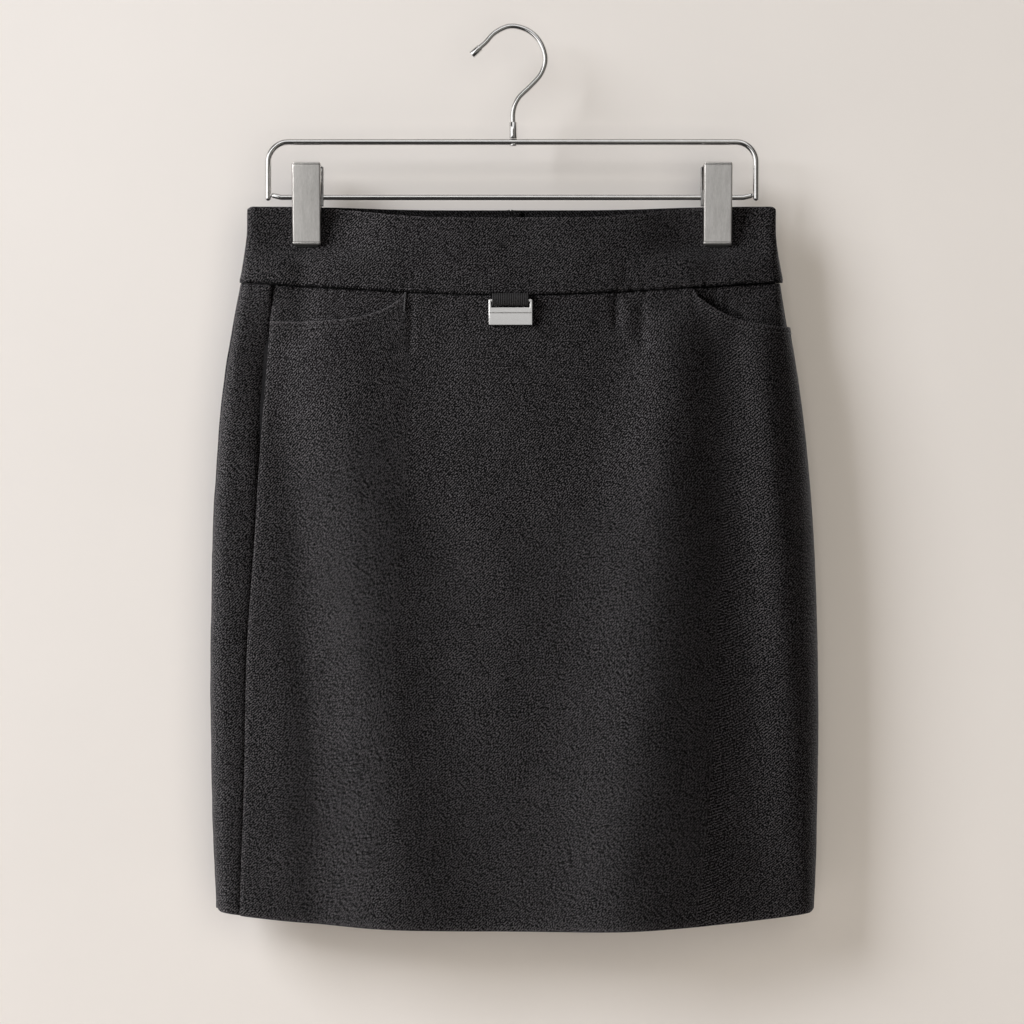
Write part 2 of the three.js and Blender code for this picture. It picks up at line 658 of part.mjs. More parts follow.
function jaw(centre, way) {
  const { top, bottom, sheet, lip, flange, width } = JAW;
  const half = width / 2;
  const folded = [
    [jawFace(top), top],
    [jawFace(bottom), bottom],
    [jawFace(bottom) - lip, bottom],
    [jawFace(bottom) - lip, bottom + sheet],
    [jawFace(bottom + sheet) - sheet, bottom + sheet],
    [jawFace(top - sheet) - sheet, top - sheet],
    [jawFace(top) - sheet - lip, top - sheet],
    [jawFace(top) - sheet - lip, top],
  ];
  const middle = (flange.top + flange.bottom) / 2;
  const side = [
    [jawFace(flange.top) - sheet / 2, flange.top],
    [flange.deep, middle + flange.flat / 2],
    [flange.deep, middle - flange.flat / 2],
    [jawFace(flange.bottom) - sheet / 2, flange.bottom],
  ];
  const facing = (outline) => outline.map(([y, z]) => [way * y, z]);
  return toGeometry(
    bar(facing(folded), centre - half, centre + half)
      .add(bar(facing(side), centre - half, centre - half + sheet))
      .add(bar(facing(side), centre + half - sheet, centre + half)),
  );
}

function pad(centre, way) {
  const { top, bottom, width } = PAD;
  const cloth = BAND_CLOTH + 2.4 * GAP;
  const behind = JAW.sheet + GAP;
  const outline = [
    [way * cloth, top],
    [way * cloth, bottom],
    [way * (jawFace(bottom) - behind), bottom],
    [way * (jawFace(top) - behind), top],
  ];
  return toGeometry(bar(outline, centre - width / 2, centre + width / 2));
}

function spring(centre) {
  const half = SPRING.length / 2;
  const around = rod(0, CROSSBAR.z, SPRING.radius, centre - half, centre + half, 20);
  const hole = rod(0, CROSSBAR.z, CROSSBAR.radius + GAP, centre - half - 1, centre + half + 1, 20);
  return toGeometry(around.subtract(hole));
}

// The strip that shows beside each clip, towards the middle of the hanger.
function bracket(centre) {
  const inward = centre < 0 ? 1 : -1;
  const near = centre + inward * (JAW.width / 2 + GAP);
  const far = near + inward * BRACKET.thick;
  const { top, bottom, deep } = BRACKET;
  const strip = [[-deep, top], [-deep, bottom], [deep, bottom], [deep, top]];
  const hole = rod(0, CROSSBAR.z, CROSSBAR.radius + GAP, min(near, far) - 1, max(near, far) + 1, 20);
  return toGeometry(bar(strip, min(near, far), max(near, far)).subtract(hole));
}

// ---------------------------------------------------------------- assembly

const look = (color, roughness, metalness) => ({ color, roughness, metalness });
const LOOKS = {
  twill: look(0x2b2c2f, 0.9, 0),
  facing: look(0x28292c, 0.9, 0),
  shorts: look(0x1d1d20, 0.75, 0),
  webbing: look(0x1c1c1e, 0.8, 0),
  chrome: look(0xb9b9bb, 0.22, 1),
  steel: look(0xa9a9a6, 0.42, 1),
  rubber: look(0x2a2a2a, 0.85, 0),
  bright: look(0xcfcfcd, 0.25, 1),
};

const skort = new THREE.Group();
skort.name = "skort";

function place(name, geometry, material) {
  const mesh = new THREE.Mesh(geometry, new THREE.MeshStandardMaterial(LOOKS[material]));
  mesh.name = name;
  skort.add(mesh);
}

const pastMouth = {
  right: (x) => x < POCKETS.right.inner + FACING.beyond,
  left: (x) => x > POCKETS.left.inner - FACING.beyond,
};
const underBand = (angle) => waistSeam(angle) - GAP;

place("waistband_front", bandPanel(seams.bandRight, seams.bandLeft, 32), "twill");
place("waistband_back_left", bandPanel(seams.bandLeft, seams.back, 15), "twill");
place("waistband_back_right", bandPanel(seams.back, wrapped(seams.bandRight), 15), "twill");
place("skirt_front", skirtPanel(FRONT, frontTop), "twill");
place("skirt_back_left", skirtPanel(BACK_LEFT, underBand), "twill");
place("skirt_back_right", skirtPanel(BACK_RIGHT, underBand), "twill");
place("pocket_facing_right", pocketFacing(POCKETS.right, pastMouth.right), "facing");
place("pocket_facing_left", pocketFacing(POCKETS.left, pastMouth.left), "facing");
place("shorts_left", shortsHalf(true), "shorts");
place("shorts_right", shortsHalf(false), "shorts");
place("tag_loop", tagLoop(), "webbing");
place("tag", tag(), "bright");

place("hanger_rail", rail(), "chrome");
place("hanger_crossbar", crossbar(), "chrome");
place("hanger_hook", hook(), "chrome");
place("hook_tip", hookTip(), "chrome");
place("hanger_collar", collar(), "chrome");
place("hanger_rivet", rivet(), "chrome");
for (const [name, centre] of Object.entries(CLIPS)) {
  place(`clip_${name}_front_jaw`, jaw(centre, -1), "steel");
  place(`clip_${name}_back_jaw`, jaw(centre, 1), "steel");
  place(`clip_${name}_front_pad`, pad(centre, -1), "rubber");
  place(`clip_${name}_back_pad`, pad(centre, 1), "rubber");
  place(`clip_${name}_spring`, spring(centre), "steel");
  place(`clip_${name}_bracket`, bracket(centre), "steel");
}

export default skort;
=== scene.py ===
"""A knee-length skort on a wire clip hanger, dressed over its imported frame.

The scene is laid out as a Blender add-on: each group of pieces has an operator of its own, and
the sizes and colours that a user would change are properties of the scene. Lengths inside the
tables and shape functions are millimetres in the frame of the part: +Z up, the front faces -Y
and the wearer's left side is +X. They turn into metres where a mesh is made.
"""

import math
import random
from types import SimpleNamespace

import bmesh
import bpy
import numpy as np
from mathutils import Matrix, Vector


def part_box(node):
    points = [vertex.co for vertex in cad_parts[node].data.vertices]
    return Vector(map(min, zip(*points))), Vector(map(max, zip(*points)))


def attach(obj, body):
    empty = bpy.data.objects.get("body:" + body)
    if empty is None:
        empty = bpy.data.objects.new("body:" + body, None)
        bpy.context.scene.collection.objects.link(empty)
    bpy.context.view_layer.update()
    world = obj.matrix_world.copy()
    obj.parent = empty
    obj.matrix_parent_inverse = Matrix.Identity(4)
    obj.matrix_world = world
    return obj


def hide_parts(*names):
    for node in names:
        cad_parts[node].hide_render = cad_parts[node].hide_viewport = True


bl_info = {
    "name": "Skort on Clip Hanger",
    "version": (1, 0, 0),
    "blender": (4, 5, 0),
    "location": "3D View > Sidebar > Skort",
    "description": "Builds the cloth, the metal parts and the studio of a skort on a clip hanger",
    "category": "Object",
}

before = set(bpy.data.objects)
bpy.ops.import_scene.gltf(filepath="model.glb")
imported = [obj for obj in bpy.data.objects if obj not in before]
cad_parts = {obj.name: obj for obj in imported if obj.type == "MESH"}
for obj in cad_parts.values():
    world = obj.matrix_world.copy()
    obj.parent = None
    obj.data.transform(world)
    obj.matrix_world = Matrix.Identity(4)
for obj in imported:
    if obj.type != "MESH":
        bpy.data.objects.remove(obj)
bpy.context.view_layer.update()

MM = 0.001
BODY = "garment"

# ---------------------------------------------------------------- sizes, in millimetres

SKIRT_CLOTH = 1.2
BAND_CLOTH = 2.0
FACING_CLOTH = 1.0
SHORTS_CLOTH = 1.0
BAND_PROUD = 0.8
GAP = 0.3
SEAM = 0.12  # between two panels that are sewn together

WAIST_TOP = -124.9
WAIST_SEAM = -177.9
HEM = -617.5
SEAM_DIP = {"front": 9.3, "back": 1.6}
TOP_DIP = {"front": 8.0, "back": 1.4, "from": 155, "over": 110}
HEM_DIP = {"front": 12.4, "back": 5.0, "shape": 2.4}
CENTRE_BACK = {"high": 0.4, "width": 1.0}  # where the seam makes the band's top stand up
DART = 80
CORNER = {"reach": 4, "drop": 2.0}
PRESSED = {"reach": 44, "firm": 3, "from": -166, "over": 16}
BAND_SEAM = 4
ALLOWANCE = {"half": 7, "inset": 2.3, "cloth": 0.8, "below_seam": 2, "above_hem": 1.5}
UNDERLAP_SIZE = {"half": 7, "inset": 2.25, "cloth": 1.0, "below_top": 0.7, "above_seam": 10}
CLIPS = {"right": -142.5, "left": 144.8}

# Each mouth starts a step below the waist seam and falls away towards the side.
POCKETS = {
    "right": {"inner": -73.4, "step": 0.0, "drop": 27.0, "run": 24.5, "curve": 0.85},
    "left": {"inner": 129.6, "step": 6.2, "drop": 26.0, "run": 24.0, "curve": 1.15},
}
STEP_OVER = 1.2  # the length along the mouth in which its step is made

# Along a mouth the cloth is double, and a row of stitches lies in it. The left mouth gapes, and
# the facing behind it stands off and is drawn into pleats.
MOUTH_EDGE = {"high": 0.45, "over": 6}
MOUTH_ROW = {"below": 4.6, "deep": 0.25, "width": 0.9, "starts": 4, "spacing": 1.35}
MOUTH_GAPE = {"x": 143, "width": 15, "over": 15, "high": 1.9}
FACING = {"beyond": 20, "deep": 47, "off": 0.2, "loose": 0.3}
FACING_GAPE = {"x": 146, "width": 18, "over": 14, "high": 1.3}
PLEATS = {"x": 137.5, "pitch": 9.5, "high": 0.55, "middle": 144, "reach": 13, "z": (-181, -215, 7)}
BAR_TACK = {"top": -185.6, "bottom": -198.4, "x": -73.0, "lean": 0.07, "stitches": 19, "long": 1.5}
STITCH = {"half_wide": 0.32, "half_high": 0.26, "lift": 0.06}

# Soft folds, each given at the waist seam, half way down and at the hem: where it lies, how wide
# it is towards the wearer's right and left, and how high it stands.
FRONT_FOLDS = (
    ((-131, -99, -80), (36, 34, 37), (38, 31, 35), (3.7, 4.8, 4.6)),
    ((-178, -143, -130), (18, 18, 20), (20, 23, 26), (-2.6, -4.8, -4.0)),
    ((-52, -38, -16), (30, 30, 30), (30, 30, 30), (-1.2, -1.6, -2.2)),
    ((10, 6, 22), (34, 34, 34), (34, 34, 34), (1.2, 0.8, 0.0)),
    ((113, 103, 82), (20, 38, 42), (24, 42, 66), (5.8, 13.4, 13.0)),
    ((178, 196, 214), (22, 24, 24), (22, 30, 30), (7.8, 14.8, 6.5)),
)
BACK_FOLDS = (
    ((-128, -118, -104), (38, 38, 38), (38, 38, 38), (2.0, 6.0, 8.5)),
    ((-62, -58, -48), (28, 28, 28), (28, 28, 28), (-1.4, -2.4, -3.0)),
    ((6, -4, 12), (34, 34, 34), (34, 34, 34), (1.4, 3.0, 4.5)),
    ((92, 102, 118), (38, 38, 38), (38, 38, 38), (2.0, 5.0, 7.5)),
    ((158, 164, 172), (22, 22, 22), (22, 22, 22), (-2.2, -2.6, -1.6)),
)

# Creases of the front. Each row says where the crease lies at the height CREASES_AT and how it
# leans, how wide it is and how far it stands out, then its top, its bottom and its soft ends.
CREASES_AT = -200
CREASES = (
    (-145, 0, 11, -2.3, -150, -228, 14),  # below the right clip
    (142, 0, 8, -0.8, -150, -206, 12),  # below the left clip
    (-68.6, 0.05, 2.2, -0.7, -186, -232, 10),  # beside the tack
    (-66.8, 0, 1.6, -0.45, -168, -184, 4),  # above the tack
    (80.8, 0, 2.6, -0.5, -158, -185, 8),  # above the dart
    (81.5, 0, 4.5, 0.7, -184, -222, 8),  # the dart's own fold
    (73.6, 0, 3.0, -1.1, -182, -216, 8),  # beside the dart, towards the centre
    (91.6, 0, 3.4, -1.4, -188, -232, 10),  # beside the dart, towards the side
)
SEWN_MARKS = (
    (-73.8, 0, 0.8, 0.55, -183, -199, 1.5),  # the bar tack
    (81.3, -0.1, 0.9, -1.3, -183, -192, 1.8),  # the sewn end of the dart
)

# The right back panel comes round to the front, and sinks there towards its end: how deep and how
# wide its two hollows are, what share is gone at the hem, and how far below the band they start.
SUNK = {"hollows": ((5.2, 20), (1.5, 5)), "lost": 0.65, "over": 50}

# How stitching pulls in the cloth beside it: how deep and how wide, and how high its puckers are
# and how soon they fade.
SEAM_PULL = {"deep": 0.9, "width": 1.2, "pucker": 0.16, "fade": 5}
WAIST_PULL = {"deep": 0.45, "width": 0.7, "pucker": 0.3, "fade": 4}
BAND_PULL = 0.6  # the share of the pull that is left in the firm waistband
RUMPLED = {"drape": 0.35, "rumple": 0.12}
WAVES_ON = {"back": 400, "band": 60}  # moves the waves, so that no two parts have the same

SHORTS = {
    "attach": 7,
    "clear": 0.7,
    "tuck": 1.2,
    "tuck_over": 6,
    "corner": 1.6,
    "settle": 24,
    "inset": 8,
    "depth": 12,
    "edge": 5,
    "flatter": 0.6,
    "flatter_over": 60,
    "crotch": -398,
    "curve": 50,
    "leg_gap": 3.5,
    "leg_gap_over": 40,
    "hem": -556,
    "taper": 9,
    "stitching": {"above": 21, "deep": 0.5, "width": 1.2},
}

# The tag's heights are taken from its bar, and its plate's face and thickness from front to back.
TAG = {
    "z": -191.6,
    "bar": 1.2,
    "width": 30.4,
    "arm": 1.8,
    "arm_top": 0.8,
    "top": -4.6,
    "bottom": -17.0,
    "groove": (-8.8, -8.0),
    "groove_deep": 0.5,
    "groove_foot": 0.1,
    "thick": 2,
    "face": 1,
    "round": 0.45,
}

# The webbing loop, and the tape's path seen from its end: how far behind the skin or the bar, and
# how high above the bar. Along its selvedges the tape is drawn in by a small share.
LOOP = {"width": 25.4, "cloth": 0.96, "drawn_in": 0.0075, "selvedge": 0.5}
LOOP_FRONT = ((-2.5, 5.2), (-3.0, 4.0))
LOOP_ROUND_BAR = (
    (-2.1, 1.6), (-2.45, -0.6), (-1.75, -2.6), (0, -3.4), (1.6, -2.5), (2.3, -0.6), (2.2, 2.2),
)
LOOP_BACK = ((-0.5, 5.2),)

# The hanger's wires. The rail's legs end at its foot, and the lower wire ends beside them.
RAIL = {"z": -79.3, "right": -169.7, "left": 171.9, "radius": 2.15, "bend": 14, "foot": -120.6}
CROSSBAR = {"z": -118.1, "radius": 2.0, "rise": 1.2, "run": 5.0, "bend": 9, "beside": 0.74}
HOOK_RADIUS = 1.95
HOOK = (
    (1.9, -70), (1.9, -58), (5.6, -48.6), (14.6, -39.6), (21.6, -31.2), (24.4, -20.6),
    (20.4, -8.8), (11.6, -0.9), (0, 1.8), (-10.6, -2.6), (-17.4, -9.6), (-21.6, -13.4),
)

# Profiles of the turned parts: the distance along the axis, and the radius there.
CAP = (
    (0, 1.9), (0.2, 2.6), (1.3, 2.7), (1.5, 2.2), (1.9, 2.2), (2.1, 2.7), (7.6, 2.7), (7.9, 2.5),
    (8.0, 0.6),
)
CAP_OVERLAP = 0.4
COLLAR = ((0, 1.9), (0.05, 2.45), (0.3, 2.7), (11.3, 2.7), (11.6, 2.4), (11.65, 1.9))
COLLAR_FOOT = (1.9, 0, -77)
RIVET = ((0, 2.5), (0.6, 2.5), (1.0, 2.2), (1.1, 0.2))
RIVET_TOP = (1.9, 0, -81.2)

# A jaw is a tray of sheet steel. Its outer face leans from the foot out to the head, a groove runs
# inside the rim at both ends, and its walls are cut away where the cross wire passes.
JAW = {
    "top": -94.4,
    "bottom": -152.0,
    "foot": 5.2,
    "head": 12.8,
    "sheet": 0.9,
    "width": 20.0,
    "deep": 3.1,
    "round": 1.5,
    "rim": (1.6, 1.95, 2.3),
    "rim_groove": 0.42,
    "rows": (-104, -113, -124, -135),
    "slot": (-125, -112),
    "slot_deep": 2.6,
}
# Each pad reaches a little below its jaw, near black: that strip is a painted shadow under the
# clip.
PAD = {"rows": 12, "rib": 0.35, "shadow_below_jaw": 1.3, "clear": 0.25}
SPRING = {"turns": 8.5, "steps": 20, "radius": 3.3, "half": 6.0, "wire": 0.55}
SPRING_LEG = ((6.6, -107), (4.0, -115))  # how far to the side of the cross wire, and the height
# A bracket's web closes its slot from behind; with the dark steel it is painted shade.
BRACKET = {"half": 4.4, "wall": 0.65, "joint": 0.3, "rim": 0.9, "slot": -113.4, "shade_web_half": 0.5}

# ---------------------------------------------------------------- the studio, in metres

WALL_BEHIND = 0.038  # the wall's distance behind the middle of the hanger
FLOOR_Z = -1.25
ROOM = {"size": 4.5, "wall_z": 0.3}
CAMERA = {"lens": 120.5, "sensor": 36, "place": (0.00105, -2.4, -0.3384)}
ROOM_LIGHT = {"colour": (0.80, 0.76, 0.72, 1.0), "strength": 0.05}
LIT_MIDDLE = Vector((0, 0, -0.36))
DAY, WARM, PLAIN = (0.96, 1.0, 1.07), (1.0, 0.965, 0.885), (1, 1, 1)

# Each lamp: its name, the way to it from the middle of the garment and its distance, its width and
# height, the power that it takes its own from and the factor, what it lights, and its colour.
LAMPS = (
    ("wall_window", (-1.3, -1.0, 0.9), 3.6, (1.7, 1.9), "window_power", 2.4, "Room", DAY),
    ("wall_front", (0.2, -1.0, 0.1), 3.4, (3.0, 3.0), "fill_power", 4.9, "Room", WARM),
    ("cloth_window", (-3.1, -1.0, 1.05), 2.6, (1.0, 1.3), "window_power", 2.35, "Cloth", PLAIN),
    ("cloth_front", (0.5, -1.0, 0.2), 2.9, (2.4, 2.4), "fill_power", 0.25, "Cloth", PLAIN),
    ("plate_window", (-1.2, -1.0, 0.7), 2.4, (2.2, 2.2), "window_power", 1.8, "Plate", PLAIN),
    ("plate_front", (0.1, -1.0, -0.05), 2.9, (3.4, 3.0), "fill_power", 2.6, "Plate", PLAIN),
    ("plate_right", (1.3, -1.0, 0.2), 2.4, (1.5, 2.0), "fill_power", 0.4, "Plate", PLAIN),
    ("plate_top", (0.0, -0.5, 1.0), 2.4, (2.4, 1.2), "window_power", 0.3, "Plate", PLAIN),
    ("plate_low", (0.0, -1.0, -1.1), 2.4, (2.4, 1.2), "window_power", 0.03, "Plate", PLAIN),
    ("wire_window", (-1.1, -1.0, 0.1), 2.4, (3.2, 2.4), "window_power", 0.85, "Wire", PLAIN),
    ("wire_top", (0.0, -1.0, 1.0), 2.4, (2.4, 2.0), "window_power", 0.34, "Wire", PLAIN),
    ("wire_front", (0.5, -1.0, -0.1), 2.9, (2.6, 3.0), "fill_power", 0.6, "Wire", WARM),
    ("back_left", (1.3, 1.0, 0.6), 2.6, (1.6, 1.6), "window_power", 0.9, "Cloth", PLAIN),
    ("back_right", (-1.0, 1.0, 0.3), 2.6, (1.6, 1.6), "window_power", 0.35, "Cloth", PLAIN),
)

# ---------------------------------------------------------------- small maths


FULL_TURN = 2 * math.pi


def mix(a, b, t):
    return a + (b - a) * t


def ease(t):
    t = np.clip(t, 0, 1)
    return t * t * (3 - 2 * t)


def bell(distance, width):
    return np.exp(-((distance / width) ** 2))


class Table:
    """Named columns whose rows run down the garment, with a smooth curve between the rows."""

    def __init__(self, names, *rows):
        rows = sorted(rows)
        self.z = np.array([row[0] for row in rows], float)
        columns = zip(*(row[1:] for row in rows))
        self.columns = {name: np.array(column, float) for name, column in zip(names, columns)}

    def __call__(self, name, z):
        heights, values = self.z, self.columns[name]
        slope = np.empty_like(values)
        slope[1:-1] = (values[2:] - values[:-2]) / (heights[2:] - heights[:-2])
        slope[0] = (values[1] - values[0]) / (heights[1] - heights[0])
        slope[-1] = (values[-1] - values[-2]) / (heights[-1] - heights[-2])
        k = np.clip(np.searchsorted(heights, z) - 1, 0, len(heights) - 2)
        span = heights[k + 1] - heights[k]
        t = np.clip((z - heights[k]) / span, 0, 1)
        straight = values[k] * (1 + 2 * t) * (1 - t) ** 2 + values[k + 1] * t * t * (3 - 2 * t)
        return straight + span * (slope[k] * t * (1 - t) ** 2 - slope[k + 1] * t * t * (1 - t))


SKIN = Table(
    ("right", "left", "edge", "front", "back"),
    (-124, -183.3, 185.1, 4.4, 9.0, 8.5),
    (-148, -184.4, 185.4, 5.2, 11.5, 11.0),
    (-178, -189.3, 190.3, 6.6, 14.5, 13.5),
    (-204, -194.3, 194.6, 8.0, 16.5, 16.0),
    (-246, -200.9, 201.6, 9.4, 19.5, 19.0),
    (-302, -206.2, 208.3, 10.4, 22.0, 22.0),
    (-372, -209.0, 213.2, 11.0, 23.0, 24.0),
    (-470, -210.4, 215.6, 11.0, 22.5, 25.0),
    (-554, -208.3, 214.6, 11.0, 22.0, 25.0),
    (-630, -205.8, 212.0, 10.5, 21.0, 25.0),
)
SIDE_SEAM = Table(
    ("right", "left"),
    (-178, 23.6, 26),
    (-246, 29.9, 30),
    (-330, 30.8, 30),
    (-428, 26.6, 26),
    (-512, 24, 24),
    (-620, 17, 20),
)

# ---------------------------------------------------------------- the skin of the garment
# A point of the skin is named by its height and an angle, which runs from 0 at the wearer's
# right edge, over the front, to pi at the left edge, and on over the back.


def by_side(angle, front, back):
    return np.where(np.sin(angle) >= 0, front, back)


def fold_height(folds, x, z):
    t = np.clip((WAIST_SEAM - z) / (WAIST_SEAM - HEM), 0, 1)

    def along(values):
        a, b, c = values
        return a * (1 - t) * (1 - 2 * t) + 4 * b * t * (1 - t) + c * t * (2 * t - 1)

    total = 0
    for middle, right, left, high in folds:
        away = x - along(middle)
        total = total + along(high) * bell(away, np.where(away < 0, along(right), along(left)))
    return total * ease(t / 0.12)


def pressed(x, z):
    """1 where a clip presses the band flat, and 0 away from it."""
    away = [abs(x - clip) / PRESSED["reach"] for clip in CLIPS.values()]
    near = [np.exp(-(share ** PRESSED["firm"])) for share in away]
    return np.maximum(*near) * ease((z - PRESSED["from"]) / PRESSED["over"])


def skin_point(angle, z, grow=0.0):
    low = SKIN("right", z) - grow
    high = SKIN("left", z) + grow
    half = (high - low) / 2
    across = -np.cos(angle)
    x = (low + high) / 2 + half * across
    edge = SKIN("edge", z) + grow
    inward = np.minimum(half * (1 - abs(across)), edge)
    rounded = np.sqrt(edge**2 - (edge - inward) ** 2)
    deep = by_side(angle, SKIN("front", z), SKIN("back", z)) + grow
    folds = by_side(angle, fold_height(FRONT_FOLDS, x, z), fold_height(BACK_FOLDS, x, z))
    is_open = rounded + (deep - edge) * (1 - across**2) + folds * (1 - across**8)
    depth = mix(is_open, np.minimum(is_open, BAND_CLOTH + GAP), pressed(x, z))
    return np.stack([x, by_side(angle, -depth, depth), z + 0 * x], axis=-1)


def normal_of(around, down):
    normal = np.cross(down, around)
    return normal / np.linalg.norm(normal, axis=-1, keepdims=True)


def skin(angle, z, grow=0.0, inset=0.0):
    """Points of the skin, moved in along the normal, and the outward normals."""
    turn, step = 2e-3, 0.4
    around = skin_point(angle + turn, z, grow) - skin_point(angle - turn, z, grow)
    down = skin_point(angle, z - step, grow) - skin_point(angle, z + step, grow)
    normal = normal_of(around, down)
    return skin_point(angle, z, grow) - normal * np.asarray(inset)[..., None], normal


def angle_at(x, z, front):
    low, high = SKIN("right", z), SKIN("left", z)
    turn = np.arccos(np.clip(1 - 2 * (x - low) / (high - low), -1, 1))
    return np.where(front, turn, FULL_TURN - turn)


SEAMS = {
    "right": lambda z: angle_at(SKIN("right", z) + SIDE_SEAM("right", z), z, True),
    "left": lambda z: angle_at(SKIN("left", z) - SIDE_SEAM("left", z), z, False),
    "back": lambda z: angle_at(0, z, False),
    "band_right": lambda z: angle_at(SKIN("right", z) + BAND_SEAM, z, False) - FULL_TURN,
    "band_left": lambda z: angle_at(SKIN("left", z) - BAND_SEAM, z, False),
}


def wrapped(seam):
    return lambda z: seam(z) + FULL_TURN


def middle_dip(angle):
    across = np.cos(angle)
    return (np.cos(across * math.pi / 2) ** 2 + 1 - across**2) / 2


def waist_seam(angle):
    return WAIST_SEAM - by_side(angle, SEAM_DIP["front"], SEAM_DIP["back"]) * middle_dip(angle)


def corner_drop(angle, z):
    half = (SKIN("left", z) - SKIN("right", z)) / 2
    inward = half * (1 - abs(np.cos(angle)))
    return CORNER["drop"] * np.maximum(0, 1 - inward / CORNER["reach"]) ** 2


def band_top(angle):
    x = skin_point(angle, WAIST_TOP + 0 * angle)[..., 0]
    inside = ease((TOP_DIP["from"] - abs(x)) / TOP_DIP["over"])
    raised = by_side(angle, 0, CENTRE_BACK["high"]) * bell(x, CENTRE_BACK["width"])
    dip = by_side(angle, TOP_DIP["front"], TOP_DIP["back"]) * inside
    return WAIST_TOP - dip + raised - corner_drop(angle, WAIST_TOP)


def hem_line(angle):
    dip = by_side(angle, HEM_DIP["front"], HEM_DIP["back"])
    return HEM - dip * (1 - abs(np.cos(angle)) ** HEM_DIP["shape"]) + corner_drop(angle, HEM)


ROUND = np.linspace(0, FULL_TURN, 4001)
_ring = skin_point(ROUND, WAIST_SEAM - 10 + 0 * ROUND)
ROUND_LENGTH = np.concatenate([[0], np.cumsum(np.linalg.norm(np.diff(_ring, axis=0), axis=1))])


def past_mouth(side, angle):
    """How far round the skin an angle lies past the inner end of a pocket's mouth."""
    inner = angle_at(POCKETS[side]["inner"], WAIST_SEAM - 10, True)
    way = 1 if side == "left" else -1
    here = np.interp(np.clip(angle, 0, FULL_TURN), ROUND, ROUND_LENGTH)
    return way * (here - np.interp(inner, ROUND, ROUND_LENGTH))


def mouth_drop(side, angle):
    pocket = POCKETS[side]
    past = past_mouth(side, angle)
    scoop = np.exp(-((np.maximum(past, 0) / pocket["run"]) ** pocket["curve"]))
    step = pocket["step"] * ease(past / STEP_OVER + 0.5)
    return step + pocket["drop"] * (1 - scoop)


def under_band(angle):
    """The skirt's top line: a groove below the band, which closes at the two side edges."""
    return waist_seam(angle) - GAP * (1 - 0.95 * abs(np.cos(angle)) ** 60)


def front_top(angle):
    return under_band(angle) - mouth_drop("right", angle) - mouth_drop("left", angle)


def turn_for(distance, angle, z):
    """The change of angle that moves a point of the skin by a small distance."""
    step = 1e-3
    moved = skin_point(angle + step, z) - skin_point(angle, z)
    return distance * step / np.linalg.norm(moved, axis=-1)


# ---------------------------------------------------------------- small relief of the cloth


class Waves:
    """An uneven wave that is the same each time: mostly upright where upright is near 1."""

    def __init__(self, seed, shortest, longest, upright, count=7):
        chance = random.Random(seed)
        self.waves = []
        for _ in range(count):
            rate = FULL_TURN / chance.uniform(shortest, longest)
            turn = chance.uniform(-1, 1) * (1 - upright) * math.pi / 2
            phase = chance.uniform(0, FULL_TURN)
            self.waves.append((rate * math.cos(turn), rate * math.sin(turn), phase))

    def __call__(self, x, z=0.0):
        total = sum(np.sin(a * x + b * z + c) for a, b, c in self.waves)
        return total / math.sqrt(len(self.waves))


PUCKERS = Waves(5, 4.5, 11, upright=1.0)
RUMPLES = Waves(23, 16, 40, upright=0.35)
DRAPE = Waves(11, 55, 130, upright=0.6)


def between(z, top, bottom, soft):
    """1 between two heights, and 0 beyond their soft ends."""
    return ease((top - z) / soft) * ease((z - bottom) / soft)


def crease_height(rows, x, z):
    total = 0
    for middle, lean, width, high, top, bottom, soft in rows:
        away = x - middle - lean * (z - CREASES_AT)
        total = total + high * bell(away, width) * between(z, top, bottom, soft)
    return total


def soft_rumples(x, z):
    return RUMPLED["drape"] * DRAPE(x, z) + RUMPLED["rumple"] * RUMPLES(x, z)


def front_creases(x, z):
    """Creases that every layer of the front follows, in and out along the normal."""
    return (crease_height(CREASES, x, z) + soft_rumples(x, z)) * (1 - pressed(x, z))


def pulled(distance, along, deep, width, pucker, fade):
    """How stitching pulls in the cloth beside it, with small puckers."""
    return -deep * bell(distance, width) + pucker * PUCKERS(along) * np.exp(-distance / fade)


def side_seams(at):
    """The pull of the seams at both ends of a panel."""
    return pulled(at.from_start, at.z, **SEAM_PULL) + pulled(at.from_end, at.z, **SEAM_PULL)


def waist_edge(x, distance):
    """The pull of the waist seam on the cloth above or below it."""
    return pulled(distance, x, **WAIST_PULL)


